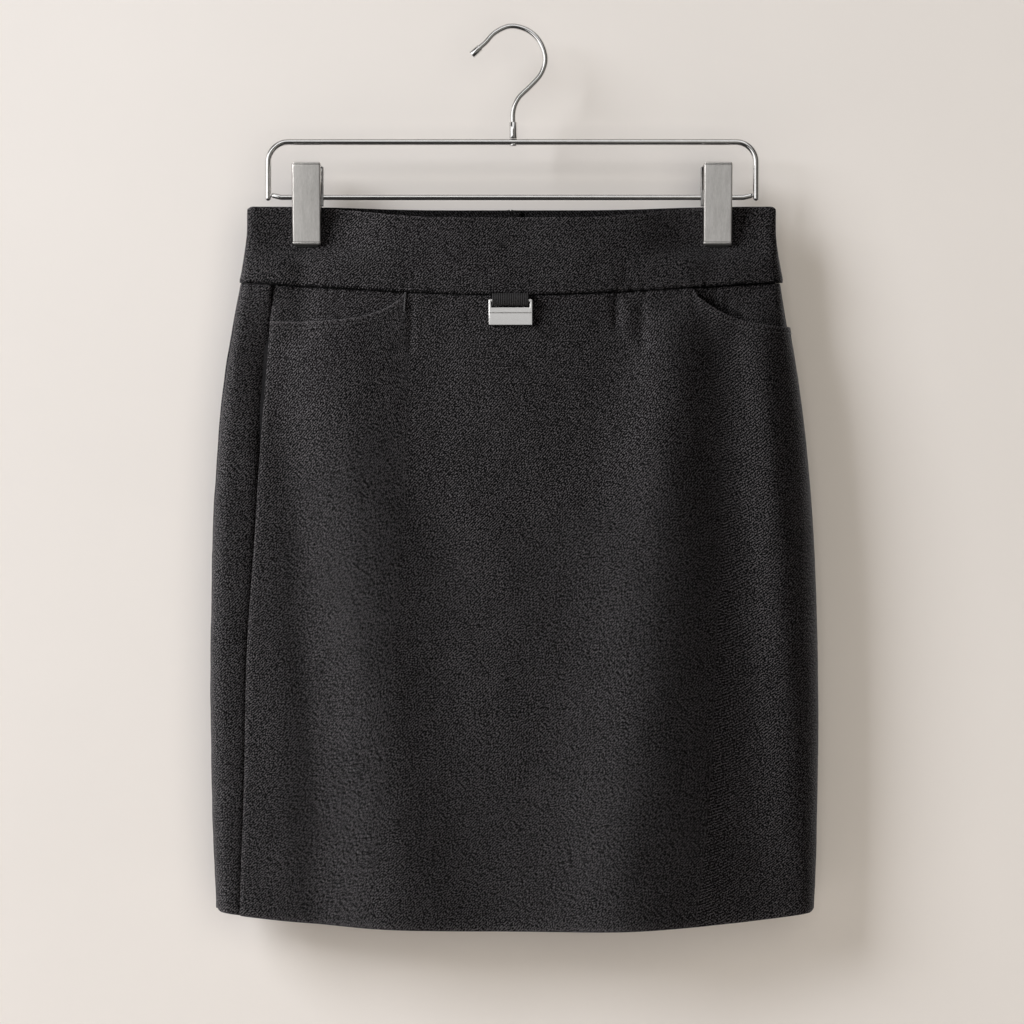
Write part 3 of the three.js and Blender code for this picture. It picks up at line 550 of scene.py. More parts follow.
class Panel:
    """Cloth on the skin between two seams, from its top line down to its bottom line."""

    def __init__(self, start, end, top, bottom, relief, grow=0.0, inset=None):
        self.start, self.end = start, end
        self.top, self.bottom = top, bottom
        self.relief, self.grow, self.inset = relief, grow, inset

    def ends(self, z):
        a, b = self.start(z), self.end(z)
        return a + turn_for(SEAM / 2, a, z), b - turn_for(SEAM / 2, b, z)

    def angle(self, share, z):
        return mix(*self.ends(z), share)

    def meet(self, line, share):
        z = WAIST_SEAM + 0 * share
        for _ in range(5):
            z = line(self.angle(share, z))
        return z

    def shares(self, columns):
        """Shares of the way round that crowd the columns where the skin turns."""
        half = np.array([0.5])
        middle = (self.meet(self.top, half) + self.meet(self.bottom, half)) / 2
        fine = np.linspace(0, 1, 1501)
        line = skin_point(self.angle(fine, middle), middle + 0 * fine)
        step = np.diff(line, axis=0)
        fine_at = [DART, *(pocket["inner"] for pocket in POCKETS.values())]
        near = sum(bell(line[1:, 0] - x, 5) for x in fine_at)
        weight = 1 + 3 * near * (line[1:, 1] < 0)
        length = np.concatenate([[0], np.cumsum(np.hypot(step[:, 0], 4 * step[:, 1]) * weight)])
        return np.interp(np.linspace(0, 1, columns + 1), length / length[-1], fine)

    def surface(self, angle, z):
        """Points of the outer face, and the outward normals there."""
        inset = 0 if self.inset is None else self.inset(angle, z)
        points, normal = skin(angle, z, self.grow, inset)
        speed = 1 / turn_for(1, angle, z)
        first, last = self.ends(z)
        at = SimpleNamespace(
            angle=angle,
            z=z,
            x=points[..., 0],
            front=by_side(angle, 1.0, 0.0),
            below=self.top(angle) - z,
            above=z - self.bottom(angle),
            from_start=np.maximum((angle - first) * speed, 0),
            from_end=np.maximum((last - angle) * speed, 0),
        )
        return points + normal * np.asarray(self.relief(at))[..., None], normal

    def spread(self, columns, rows):
        """The angles and heights of a grid that covers the panel."""
        share = self.shares(columns)[None, :]
        top, bottom = self.meet(self.top, share), self.meet(self.bottom, share)
        down = np.linspace(0, 1, rows + 1)[:, None]
        z = mix(top, bottom, down * (0.45 + 0.55 * down))
        return self.angle(share, z), z

    def __call__(self, columns, rows):
        return self.surface(*self.spread(columns, rows))[0]

    def tone(self, columns, rows):
        """Painted highlight, with some wear, along the edges that catch the light: a mouth, the
        hem and the band's top. Painted shade deep in the seams.
        """
        angle, z = self.spread(columns, rows)
        above, below = z - self.bottom(angle), self.top(angle) - z
        on_mouth = sum(at_mouth(side, angle) for side in POCKETS)
        is_band, is_skirt = float(self.top is band_top), float(self.bottom is hem_line)
        loose = on_mouth if self.top is front_top else 0.5 * is_band
        # The lighter edges are wear with a painted highlight; the darkening at the seams is
        # painted shade.
        worn_and_highlight = loose * bell(below, 1.3) + 0.5 * is_skirt * bell(above, 3)
        along_seam = is_band * bell(above, 0.3) + (1 - is_band) * (1 - loose) * bell(below, 0.5)
        return worn_and_highlight - 0.9 * along_seam


def at_mouth(side, angle):
    """1 along a pocket's mouth, and 0 beside it."""
    return ease(past_mouth(side, angle) / 2 + 0.5)


def front_relief(at):
    mouth = {side: at_mouth(side, at.angle) for side in POCKETS}
    on_mouth = mouth["right"] + mouth["left"]
    lift = at.front * front_creases(at.x, at.z)
    lift = lift + (1 - on_mouth) * waist_edge(at.x, at.below)
    lift = lift + on_mouth * MOUTH_EDGE["high"] * np.exp(-((at.below / MOUTH_EDGE["over"]) ** 6))
    row = bell(at.below - MOUTH_ROW["below"], MOUTH_ROW["width"])
    lift = lift - on_mouth * MOUTH_ROW["deep"] * row
    gape = bell(at.x - MOUTH_GAPE["x"], MOUTH_GAPE["width"]) * bell(at.below, MOUTH_GAPE["over"])
    lift = lift + MOUTH_GAPE["high"] * at.front * mouth["left"] * gape
    return lift + at.front * crease_height(SEWN_MARKS, at.x, at.z) + side_seams(at)


def back_relief(at):
    shifted = at.x + WAVES_ON["back"]
    lift = soft_rumples(shifted, at.z) + waist_edge(shifted, at.below)
    lower = (WAIST_SEAM - at.z) / (WAIST_SEAM - HEM)
    sunk = sum(deep * bell(at.from_end, width) for deep, width in SUNK["hollows"])
    sunk = sunk * (1 - SUNK["lost"] * lower) * ease(at.below / SUNK["over"])
    return lift - at.front * sunk + side_seams(at)


def band_relief(at):
    behind = 0.5 * soft_rumples(at.x + WAVES_ON["back"], at.z)
    lift = at.front * front_creases(at.x, at.z) + (1 - at.front) * behind
    seam = waist_edge(at.x + WAVES_ON["band"], at.above) * (1 - pressed(at.x, at.z))
    return lift + seam + BAND_PULL * side_seams(at)


def facing_relief(at):
    wave = np.cos(FULL_TURN * (at.x - PLEATS["x"]) / PLEATS["pitch"])
    pleats = PLEATS["high"] * wave * bell(at.x - PLEATS["middle"], PLEATS["reach"])
    lift = at.front * (front_creases(at.x, at.z) + pleats * between(at.z, *PLEATS["z"]))
    return lift + waist_edge(at.x, at.below) + side_seams(at)


def facing_inset(angle, z):
    """How far a pocket's facing lies behind the skin: more where the mouth gapes."""
    x = skin_point(angle, z)[..., 0]
    opened = ease((waist_seam(angle) - z) / FACING_GAPE["over"])
    near = bell(x - FACING_GAPE["x"], FACING_GAPE["width"])
    gape = by_side(angle, FACING_GAPE["high"], 0) * near
    return SKIRT_CLOTH + FACING["off"] + (FACING["loose"] + gape) * opened


def no_relief(at):
    return 0 * at.angle


def even_inset(depth):
    return lambda angle, z: depth + 0 * angle


def beside_back(x):
    return lambda z: angle_at(-x, z, False)


FRONT = Panel(SEAMS["right"], SEAMS["left"], front_top, hem_line, front_relief)
BACK_LEFT = Panel(SEAMS["left"], SEAMS["back"], under_band, hem_line, back_relief)
BACK_RIGHT = Panel(SEAMS["back"], wrapped(SEAMS["right"]), under_band, hem_line, back_relief)


def band_panel(start, end):
    return Panel(start, end, band_top, lambda a: waist_seam(a) + SEAM, band_relief, BAND_PROUD)


BAND_FRONT = band_panel(SEAMS["band_right"], SEAMS["band_left"])
BAND_BACK_LEFT = band_panel(SEAMS["band_left"], SEAMS["back"])
BAND_BACK_RIGHT = band_panel(SEAMS["back"], wrapped(SEAMS["band_right"]))


UNDERLAP = Panel(
    beside_back(-UNDERLAP_SIZE["half"]),
    beside_back(UNDERLAP_SIZE["half"]),
    lambda a: band_top(a) - UNDERLAP_SIZE["below_top"],
    lambda a: waist_seam(a) + UNDERLAP_SIZE["above_seam"],
    no_relief,
    BAND_PROUD,
    even_inset(UNDERLAP_SIZE["inset"]),
)


def seam_allowance(seam):
    """The cloth pressed open inside a seam of the skirt."""
    beside = lambda distance: lambda z: seam(z) + turn_for(distance, seam(z), z)
    return Panel(
        beside(-ALLOWANCE["half"]),
        beside(ALLOWANCE["half"]),
        lambda a: waist_seam(a) - ALLOWANCE["below_seam"],
        lambda a: hem_line(a) + ALLOWANCE["above_hem"],
        no_relief,
        inset=even_inset(ALLOWANCE["inset"]),
    )


def facing_panel(start, end):
    bottom = lambda a: waist_seam(a) - FACING["deep"]
    return Panel(start, end, under_band, bottom, facing_relief, inset=facing_inset)


def line_at(x):
    return lambda z: angle_at(x, z, True)


FACING_RIGHT = facing_panel(SEAMS["right"], line_at(POCKETS["right"]["inner"] + FACING["beyond"]))
FACING_LEFT = facing_panel(line_at(POCKETS["left"]["inner"] - FACING["beyond"]), SEAMS["left"])


# ---------------------------------------------------------------- the inner shorts


def shorts_point(left, turn, z):
    """One half of the shorts. The turn runs from the centre front or back round the side."""
    on_front = (turn < math.pi) == left
    way = 1 if left else -1
    share = (1 - np.cos(turn)) / 2
    edge = SKIN("left", z) if left else -SKIN("right", z)
    x_top = way * mix(GAP / 2, edge, share)
    angle = angle_at(x_top, z, on_front)
    tucked = SHORTS["tuck"] * (1 - ease((z - waist_seam(angle)) / SHORTS["tuck_over"]))
    creased = np.where(on_front, np.maximum(0, -front_creases(x_top, z)), 0)
    inset = BAND_CLOTH + SHORTS["clear"] + tucked + SHORTS["corner"] * share**12 + creased
    top = skin(angle, z, BAND_PROUD, inset)[0]
    top[..., 0] = way * np.maximum(way * top[..., 0], GAP / 2)

    below = SHORTS["crotch"] - z
    inner = mix(GAP / 2, SHORTS["leg_gap"], ease(below / SHORTS["leg_gap_over"]))
    taper = SHORTS["taper"] * np.clip(below / (SHORTS["crotch"] - SHORTS["hem"]), 0, 1)
    outer = edge - SHORTS["inset"] - taper
    x = mix(inner, outer, share)
    bulge = (SHORTS["depth"] - SHORTS["edge"]) * (1 - (x / outer) ** 2)
    pockets_end = WAIST_SEAM - FACING["deep"]
    flatter = mix(SHORTS["flatter"], 1, ease((pockets_end - z) / SHORTS["flatter_over"]))

    def rounded(inward):
        return np.sqrt(1 - (1 - np.clip(inward / SHORTS["edge"], 0, 1)) ** 2)

    is_open = ease(-below / SHORTS["curve"])
    full = (SHORTS["edge"] * rounded(outer - x) + bulge) * flatter
    depth = full * mix(rounded(x - inner), 1, is_open) + GAP / 2 * (1 - is_open)
    row = SHORTS["stitching"]
    along_seam = row["deep"] * bell(z - SHORTS["hem"] - row["above"], row["width"])
    depth = depth - along_seam * rounded(outer - x) * rounded(x - inner)
    own = np.stack([way * x, np.where(on_front, -depth, depth), z + 0 * x], axis=-1)
    return mix(top, own, ease((waist_seam(angle) - z) / SHORTS["settle"])[..., None])


def shorts_half(left):
    def shape(columns, rows):
        share = np.linspace(0, 1, columns + 1)
        turn = (FULL_TURN * share)[None, :]
        high = waist_seam(turn + (math.pi / 2 if left else -math.pi / 2)) + SHORTS["attach"]
        down = np.linspace(0, 1, rows + 1)[:, None]
        return shorts_point(left, turn + 0 * down, mix(high, SHORTS["hem"], down))

    return shape


# ---------------------------------------------------------------- finishes


class Varying:
    """A number that changes over a surface. Arithmetic on it adds Math nodes."""

    def __init__(self, finish, socket):
        self.finish, self.socket = finish, socket

    def _math(self, operation, *values, **settings):
        inputs = dict(enumerate(values))
        node = self.finish.node("ShaderNodeMath", {"operation": operation, **settings}, inputs)
        return Varying(self.finish, node.outputs[0])

    def __add__(self, other):
        return self._math("ADD", self, other)

    def __sub__(self, other):
        return self._math("SUBTRACT", self, other)

    def __rsub__(self, other):
        return self._math("SUBTRACT", other, self)

    def __mul__(self, other):
        return self._math("MULTIPLY", self, other)

    def __truediv__(self, other):
        return self._math("DIVIDE", self, other)

    def __rtruediv__(self, other):
        return self._math("DIVIDE", other, self)

    def __pow__(self, other):
        return self._math("POWER", self, other)

    __radd__ = __add__
    __rmul__ = __mul__

    def clamped(self):
        return self._math("ADD", self, 0, use_clamp=True)

    def sine(self):
        return self._math("SINE", self)

    def size(self):
        return self._math("ABSOLUTE", self)

    def fraction(self):
        return self._math("FRACT", self)


class Finish:
    """A material with one main shader, built up node by node."""

    def __init__(self, name, **constants):
        self.material = bpy.data.materials.new(name)
        self.material.use_nodes = True
        self.tree = self.material.node_tree
        self.tree.nodes.clear()
        self.shader = self.node("ShaderNodeBsdfPrincipled", {}, constants)
        surface = {"Surface": self.shader.outputs[0]}
        self.output = self.node("ShaderNodeOutputMaterial", {}, surface)

    def node(self, kind, settings, inputs):
        node = self.tree.nodes.new(kind)
        for name, value in settings.items():
            setattr(node, name, value)
        for name, value in inputs.items():
            socket = node.inputs[name]
            value = value.socket if isinstance(value, Varying) else value
            if isinstance(value, bpy.types.NodeSocket):
                self.tree.links.new(value, socket)
            else:
                socket.default_value = value
        return node

    def along(self):
        """Two lengths over the cloth in millimetres: round the body, and up it."""
        uv = self.node("ShaderNodeUVMap", {"uv_map": "Cloth"}, {}).outputs[0]
        parts = self.node("ShaderNodeSeparateXYZ", {}, {0: uv})
        return [Varying(self, parts.outputs[k]) * 1000 for k in (0, 1)]

    def tone(self):
        """Above 0 where an edge of the cloth shows wear and a painted highlight, and below 0 where
        painted shade lies deep in a seam.
        """
        node = self.node("ShaderNodeAttribute", {"attribute_name": "WearAndPaintedLight"}, {})
        return Varying(self, node.outputs["Fac"])

    def place(self):
        """The place on the part, in millimetres."""
        point = self.node("ShaderNodeTexCoord", {}, {}).outputs["Object"]
        parts = self.node("ShaderNodeSeparateXYZ", {}, {0: point})
        return [Varying(self, parts.outputs[k]) * 1000 for k in range(3)]

    def vector(self, x, y, z=0.0):
        return self.node("ShaderNodeCombineXYZ", {}, {0: x, 1: y, 2: z}).outputs[0]

    def noise(self, vector, scale=1.0, detail=2.0, roughness=0.5):
        inputs = {"Vector": vector, "Scale": scale, "Detail": detail, "Roughness": roughness}
        return Varying(self, self.node("ShaderNodeTexNoise", {}, inputs).outputs[0])

    def blend(self, share, a, b):
        node = self.node("ShaderNodeMix", {"data_type": "RGBA"}, {0: share, 6: a, 7: b})
        return node.outputs[2]

    def tint(self, colour, value):
        """A colour made darker or brighter by a number that varies."""
        settings = {"data_type": "RGBA", "blend_type": "MULTIPLY"}
        grey = self.vector(value, value, value)
        return self.node("ShaderNodeMix", settings, {0: 1.0, 6: colour, 7: grey}).outputs[2]

    def relief(self, height, depth, strength=1.0):
        """Bumps of a depth in millimetres for a height from 0 to 1."""
        inputs = {"Height": height, "Distance": depth * MM, "Strength": strength}
        return self.node("ShaderNodeBump", {}, inputs).outputs[0]

    def paint(self, **inputs):
        for name, value in inputs.items():
            socket = self.shader.inputs[name.replace("_", " ")]
            value = value.socket if isinstance(value, Varying) else value
            self.tree.links.new(value, socket)
        return self.material


CLOTH_SHADER = {
    "Roughness": 0.88,
    "Specular IOR Level": 0.1,
    "Sheen Weight": 0.09,
    "Sheen Roughness": 0.45,
    "Sheen Tint": (0.8, 0.79, 0.8, 1.0),
}


def heathered_twill(settings, name, brightness=1.0):
    """Charcoal wool-look twill: steep broken ribs, light flecks, faint streaks, edges with wear
    and a painted highlight, and painted shade in the seams.
    """
    fabric = Finish(name, **CLOTH_SHADER)
    u, v = fabric.along()
    lean = settings.twill_angle
    pitch = settings.twill_pitch / MM
    across = v * math.cos(lean) - u * math.sin(lean)
    along_rib = u * math.cos(lean) + v * math.sin(lean)
    wobble = fabric.noise(fabric.vector(u, v), 0.16, 2.0)
    rib = ((across + wobble * 1.5) * (FULL_TURN / pitch)).sine()
    broken = fabric.noise(fabric.vector(across, along_rib * 0.6, 5.0), 1.0, 0.0)
    floats = fabric.noise(fabric.vector(across * 1.45, along_rib * 0.7), 1.0, 0.0) - 0.5
    flecks = fabric.noise(fabric.vector(u, v), 1.32, 0.0) - 0.5
    weft = fabric.noise(fabric.vector(u * 0.16, v), 1.0, 1.0) - 0.5
    warp = fabric.noise(fabric.vector(u, v * 0.12, 7.0), 1.0, 1.0) - 0.5
    clouds = fabric.noise(fabric.vector(u, v, 3.0), 0.03, 3.0) - 0.5
    yarn = rib * (broken * 1.6 - 0.2) * 0.75 + floats * 3.4 + flecks * 3.0 + (weft + warp) * 0.3
    # The attribute brings in wear with a painted highlight at the edges, and painted shade in the
    # seams.
    level = (yarn + clouds * 0.2 + fabric.tone() * 0.7 + 0.26).clamped()
    colour = fabric.blend(level**1.8 * brightness, settings.twill_dark, settings.twill_light)
    return fabric.paint(Base_Color=colour, Normal=fabric.relief(yarn * 0.6 + 0.5, 0.12, 0.7))


def jersey_knit(settings):
    """Fine rib-free knit of the inner shorts: columns of small loops."""
    wale, course = 0.9, 0.75
    fabric = Finish("Shorts_Jersey", **CLOTH_SHADER)
    u, v = fabric.along()
    wales = (u * (FULL_TURN / wale)).sine()
    slant = (wales.size() * 0.35 + v / course).fraction()
    loops = (wales * 0.5 + 0.5) * 0.6 + (slant - 0.5).size() * 0.8
    fuzz = fabric.noise(fabric.vector(u, v), 0.5, 3.0, 0.6)
    level = (loops * 0.6 + fuzz * 0.5).clamped()
    colour = fabric.blend(level, settings.shorts_dark, settings.shorts_light)
    return fabric.paint(Base_Color=colour, Normal=fabric.relief(loops, 0.12, 0.7))


def ribbed_webbing(settings):
    """Narrow woven tape: upright ribs, crossed by fine picks."""
    rib, pick = 1.27, 0.6
    tape = Finish("Loop_Webbing", **CLOTH_SHADER)
    u, v = tape.along()
    ribs = (u * (FULL_TURN / rib)).sine() * 0.5 + 0.5
    picks = (v * (FULL_TURN / pick) + u * (math.pi / rib)).sine() * 0.5 + 0.5
    fuzz = tape.noise(tape.vector(u, v), 1.4, 2.0)
    level = (ribs * 0.5 + picks * 0.25 + fuzz * 0.9 - 0.42).clamped()
    colour = tape.blend(level, settings.webbing_dark, settings.webbing_light)
    return tape.paint(Base_Color=colour, Normal=tape.relief(ribs * 0.8 + picks * 0.2, 0.3))


def polished_wire(settings):
    """Bright drawn wire with faint lengthwise draw marks and a few dull spots."""
    metal = Finish("Hanger_Polished_Wire", Metallic=1.0)
    x, y, z = metal.place()
    spots = metal.noise(metal.vector(x, y, z), 0.12, 3.0)
    marks = metal.noise(metal.vector(x * 0.05, y * 3.0, z * 0.05), 1.0, 2.0)
    colour = metal.blend(spots, settings.wire_colour, (0.62, 0.61, 0.6, 1.0))
    return metal.paint(Base_Color=colour, Roughness=spots * 0.10 + marks * 0.06 + 0.06)


def spring_steel(settings):
    """Dark heat-treated steel of the clips' springs, with a faint bloom. On the brackets the same
    dark steel is painted shade, where their slots lie in shadow.
    """
    metal = Finish("Clip_Spring_Steel", Metallic=1.0)
    x, y, z = metal.place()
    bloom = metal.noise(metal.vector(x, y, z), 0.4, 3.0)
    marks = metal.noise(metal.vector(x * 3, y * 3, z * 0.3), 1.0, 2.0)
    colour = metal.blend(bloom, settings.spring_dark, settings.spring_light)
    normal = metal.relief(marks, 0.02)
    return metal.paint(Base_Color=colour, Roughness=marks * 0.2 + 0.2, Normal=normal)


def brushed_steel(settings):
    """Clip steel brushed from end to end, lighter and darker in broad patches."""
    metal = Finish("Clip_Brushed_Steel", Metallic=1.0)
    x, y, z = metal.place()
    strokes = metal.noise(metal.vector(x * 2.6, y * 2.6, z * 0.03), 1.0, 3.0, 0.7)
    broad = metal.noise(metal.vector(x * 0.5, y * 0.5, z * 0.012), 1.0, 2.0)
    level = (strokes * 0.75 + broad * 0.5 - 0.12).clamped()
    colour = metal.blend(level, settings.steel_dark, settings.steel_light)
    roughness = 0.40 - strokes * 0.12
    return metal.paint(Base_Color=colour, Roughness=roughness, Normal=metal.relief(strokes, 0.03))


def satin_silver(settings):
    """The tag's fine satin silver, with light handling marks."""
    metal = Finish("Tag_Satin_Silver", Metallic=1.0)
    x, y, z = metal.place()
    grain = metal.noise(metal.vector(x * 0.25, y * 4.0, z * 4.0), 1.0, 2.0)
    marks = metal.noise(metal.vector(x, y, z), 0.35, 4.0, 0.7)
    colour = metal.blend(marks, settings.tag_colour, (0.56, 0.55, 0.54, 1.0))
    return metal.paint(Base_Color=colour, Roughness=grain * 0.12 + marks * 0.10 + 0.18)


def grip_rubber(settings):
    """Black rubber of the clips' pads, with a little dust. It is kept near black, so that each
    pad's strip below its jaw is a painted shadow.
    """
    rubber = Finish("Clip_Pad_Rubber", **{"Specular IOR Level": 0.15})
    x, y, z = rubber.place()
    dust = rubber.noise(rubber.vector(x, y, z), 0.6, 4.0, 0.7)
    colour = rubber.blend(dust, settings.rubber_and_shadow_dark, settings.rubber_light)
    normal = rubber.relief(dust, 0.08)
    return rubber.paint(Base_Color=colour, Roughness=0.6 + dust * 0.3, Normal=normal)


def sewing_thread(settings):
    """Dark thread of two strands that are twisted together."""
    strand = 0.45
    thread = Finish("Mouth_Thread", Roughness=0.6, **{"Sheen Weight": 0.2})
    x, _, z = thread.place()
    twist = ((x + z) * (FULL_TURN / strand)).sine() * 0.5 + 0.5
    colour = thread.blend(twist, settings.thread_colour, (0.035, 0.034, 0.035, 1.0))
    return thread.paint(Base_Color=colour, Normal=thread.relief(twist, 0.05))


FINISHES = {}


def finish_of(make, settings, *names):
    """The material that make builds, built once however many pieces use it."""
    key = (make.__name__, *names)
    if key not in FINISHES:
        FINISHES[key] = make(settings, *names)
    return FINISHES[key]


# ---------------------------------------------------------------- making pieces

# The lamps' group for each slot. The cloth's slots aren't listed, and are lit as "Cloth".
LIGHT_GROUPS = {
    "hanger_wire": "Wire",
    "tag_metal": "Plate",
    "clip_steel": "Plate",
    "clip_pad": "Plate",
}


def group(name):
    """A collection of the scene, made the first time that it is asked for."""
    if name not in bpy.data.collections:
        bpy.context.scene.collection.children.link(bpy.data.collections.new(name))
    return bpy.data.collections[name]


def add_piece(name, mesh, material, slot, stands_for, body=BODY):
    piece = bpy.data.objects.new(name, mesh)
    group(LIGHT_GROUPS.get(slot, "Cloth")).objects.link(piece)
    mesh.materials.append(material)
    mesh.polygons.foreach_set("use_smooth", [True] * len(mesh.polygons))
    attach(piece, body)
    if stands_for:
        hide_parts(*stands_for)
    return piece


def to_mesh(bm, name, unit=MM):
    bmesh.ops.scale(bm, vec=(unit, unit, unit), verts=bm.verts)
    mesh = bpy.data.meshes.new(name)
    bm.to_mesh(mesh)
    bm.free()
    return mesh


def soften(piece, width, angle=40):
    """Rounds the sharp edges of a piece."""
    bevel = piece.modifiers.new("Soft edges", "BEVEL")
    bevel.width, bevel.segments = width * MM, 2
    bevel.limit_method, bevel.angle_limit = "ANGLE", math.radians(angle)
    bevel.use_clamp_overlap = False


def slice_across(bm, heights):
    """Cuts a piece across at each height, so that it can change shape there."""
    for height in heights:
        cut = {"plane_co": (0, 0, height), "plane_no": (0, 0, 1), "dist": 1e-5}
        bmesh.ops.bisect_plane(bm, geom=bm.verts[:] + bm.edges[:] + bm.faces[:], **cut)


def round_over(bm, edges, width, segments):
    bmesh.ops.bevel(
        bm, geom=edges, offset=width, offset_type="OFFSET", segments=segments, profile=0.5,
        affect="EDGES", clamp_overlap=True, material=-1,
    )


def thicken(piece, thickness):
    """Gives a sheet its thickness, inward from its outer face."""
    solid = piece.modifiers.new("Thickness", "SOLIDIFY")
    solid.thickness, solid.offset = thickness * MM, -1
    solid.use_even_offset = True


def shade_inside(piece, painted_shade_twill):
    """Gives the inner face of a cloth piece the half-bright twill, as painted shade."""
    piece.data.materials.append(painted_shade_twill)
    piece.modifiers["Thickness"].material_offset = 1


def cloth(name, shape, columns, rows, thickness, material, slot, stands_for):
    """A sheet of cloth: a grid that shape(columns, rows) puts in place, with its own map."""
    bm = bmesh.new()
    bmesh.ops.create_grid(bm, x_segments=columns, y_segments=rows, size=0.5)
    mesh = to_mesh(bm, name, 1)
    flat = np.empty(3 * len(mesh.vertices))
    mesh.vertices.foreach_get("co", flat)
    flat = flat.reshape(-1, 3)
    across = np.rint((flat[:, 0] + 0.5) * columns).astype(int)
    down = np.rint((0.5 - flat[:, 1]) * rows).astype(int)
    points = shape(columns, rows) * MM
    mesh.vertices.foreach_set("co", points[down, across].ravel())

    widths = np.linalg.norm(np.diff(points, axis=1), axis=-1)
    heights = np.linalg.norm(np.diff(points, axis=0), axis=-1)
    u = np.concatenate([np.zeros((rows + 1, 1)), np.cumsum(widths, axis=1)], axis=1)
    v = np.concatenate([np.zeros((1, columns + 1)), np.cumsum(heights, axis=0)], axis=0)
    u, v = u - u[:, columns // 2, None], -v
    corner = np.empty(len(mesh.loops), int)
    mesh.loops.foreach_get("vertex_index", corner)
    place = np.stack([u[down, across], v[down, across]], axis=-1)
    mesh.uv_layers.new(name="Cloth").data.foreach_set("uv", place[corner].ravel())
    if isinstance(shape, Panel):
        # Wear with a painted highlight at the edges, and painted shade in the seams.
        tone = shape.tone(columns, rows)[down, across]
        mesh.attributes.new("WearAndPaintedLight", "FLOAT", "POINT").data.foreach_set("value", tone.ravel())
    mesh.update()

    piece = add_piece(name, mesh, material, slot, stands_for)
    thicken(piece, thickness)
    soften(piece, 0.3 * thickness, 50)
    return piece


def tube(name, line, radius, material, slot, stands_for, domed=True):
    """A round wire along a line of points, with domed ends."""
    line = [Vector(p) for p in line]
    radii = [1.0] * len(line)
    if domed:
        start, end = (line[0] - line[1]).normalized(), (line[-1] - line[-2]).normalized()
        dome = (0.45, 0.9, 1.25)
        rings = [(math.sin(a), math.cos(a)) for a in dome]
        line = [line[0] + start * radius * s for s, _ in reversed(rings)] + line
        line = line + [line[-1] + end * radius * s for s, _ in rings]
        radii = [c for _, c in reversed(rings)] + radii + [c for _, c in rings]
    curve = bpy.data.curves.new(name, "CURVE")
    curve.dimensions, curve.use_fill_caps = "3D", True
    curve.bevel_depth, curve.bevel_resolution = radius * MM, 5
    spline = curve.splines.new("POLY")
    spline.points.add(len(line) - 1)
    for point, place, share in zip(spline.points, line, radii):
        point.co, point.radius = (*(place * MM), 1.0), share
    holder = bpy.data.objects.new(name, curve)
    bpy.context.scene.collection.objects.link(holder)
    bpy.context.view_layer.update()
    final = holder.evaluated_get(bpy.context.evaluated_depsgraph_get())
    made = bpy.data.meshes.new_from_object(final)
    bpy.data.objects.remove(holder)
    bpy.data.curves.remove(curve)
    made.name = name
    add_piece(name, made, material, slot, stands_for)


def smooth_line(points, count):
    """Points evenly along a smooth curve through the given points."""
    fineness = 20
    points = [Vector(p) for p in points]
    padded = [2 * points[0] - points[1], *points, 2 * points[-1] - points[-2]]
    fine = []
    for a, b, c, d in zip(padded, padded[1:], padded[2:], padded[3:]):
        for k in range(fineness):
            t = k / fineness
            fine.append(
                0.5 * (2 * b + (c - a) * t + (2 * a - 5 * b + 4 * c - d) * t * t
                + (3 * b - a - 3 * c + d) * t**3)
            )
    fine.append(points[-1])
    length = np.cumsum([0] + [(q - p).length for p, q in zip(fine, fine[1:])])
    where = np.linspace(0, length[-1], count)
    table = np.array([tuple(p) for p in fine])
    return [Vector(float(np.interp(s, length, table[:, k])) for k in range(3)) for s in where]


def bent_line(corners, radius, steps):
    """A line through corners in the plane y = 0, each inner corner bent to a radius."""
    points = [Vector((x, 0, z)) for x, z in corners]
    line = [points[0]]
    for before, corner, after in zip(points, points[1:], points[2:]):
        a, b = (before - corner).normalized(), (after - corner).normalized()
        half = a.angle(b) / 2
        centre = corner + (a + b).normalized() * (radius / math.sin(half))
        start = corner + a * (radius / math.tan(half)) - centre
        end = corner + b * (radius / math.tan(half)) - centre
        sweep = start.angle(end)
        for t in (s / steps for s in range(steps + 1)):
            turned = start * math.sin((1 - t) * sweep) + end * math.sin(t * sweep)
            line.append(centre + turned / math.sin(sweep))
    return line + [points[-1]]


def round_bar(bm, low, high, radius):
    """A round bar between two points."""
    low, high = Vector(low), Vector(high)
    turn = (high - low).to_track_quat("Z", "Y").to_matrix().to_4x4()
    bmesh.ops.create_cone(
        bm, cap_ends=True, segments=32, radius1=radius, radius2=radius,
        depth=(high - low).length, matrix=Matrix.Translation((low + high) / 2) @ turn,
    )


# ---------------------------------------------------------------- settings


def colour_property(name, description, *rgb):
    return bpy.props.FloatVectorProperty(
        name=name, description=description, default=(*rgb, 1.0), size=4,
        subtype="COLOR", min=0.0, max=1.0,
    )


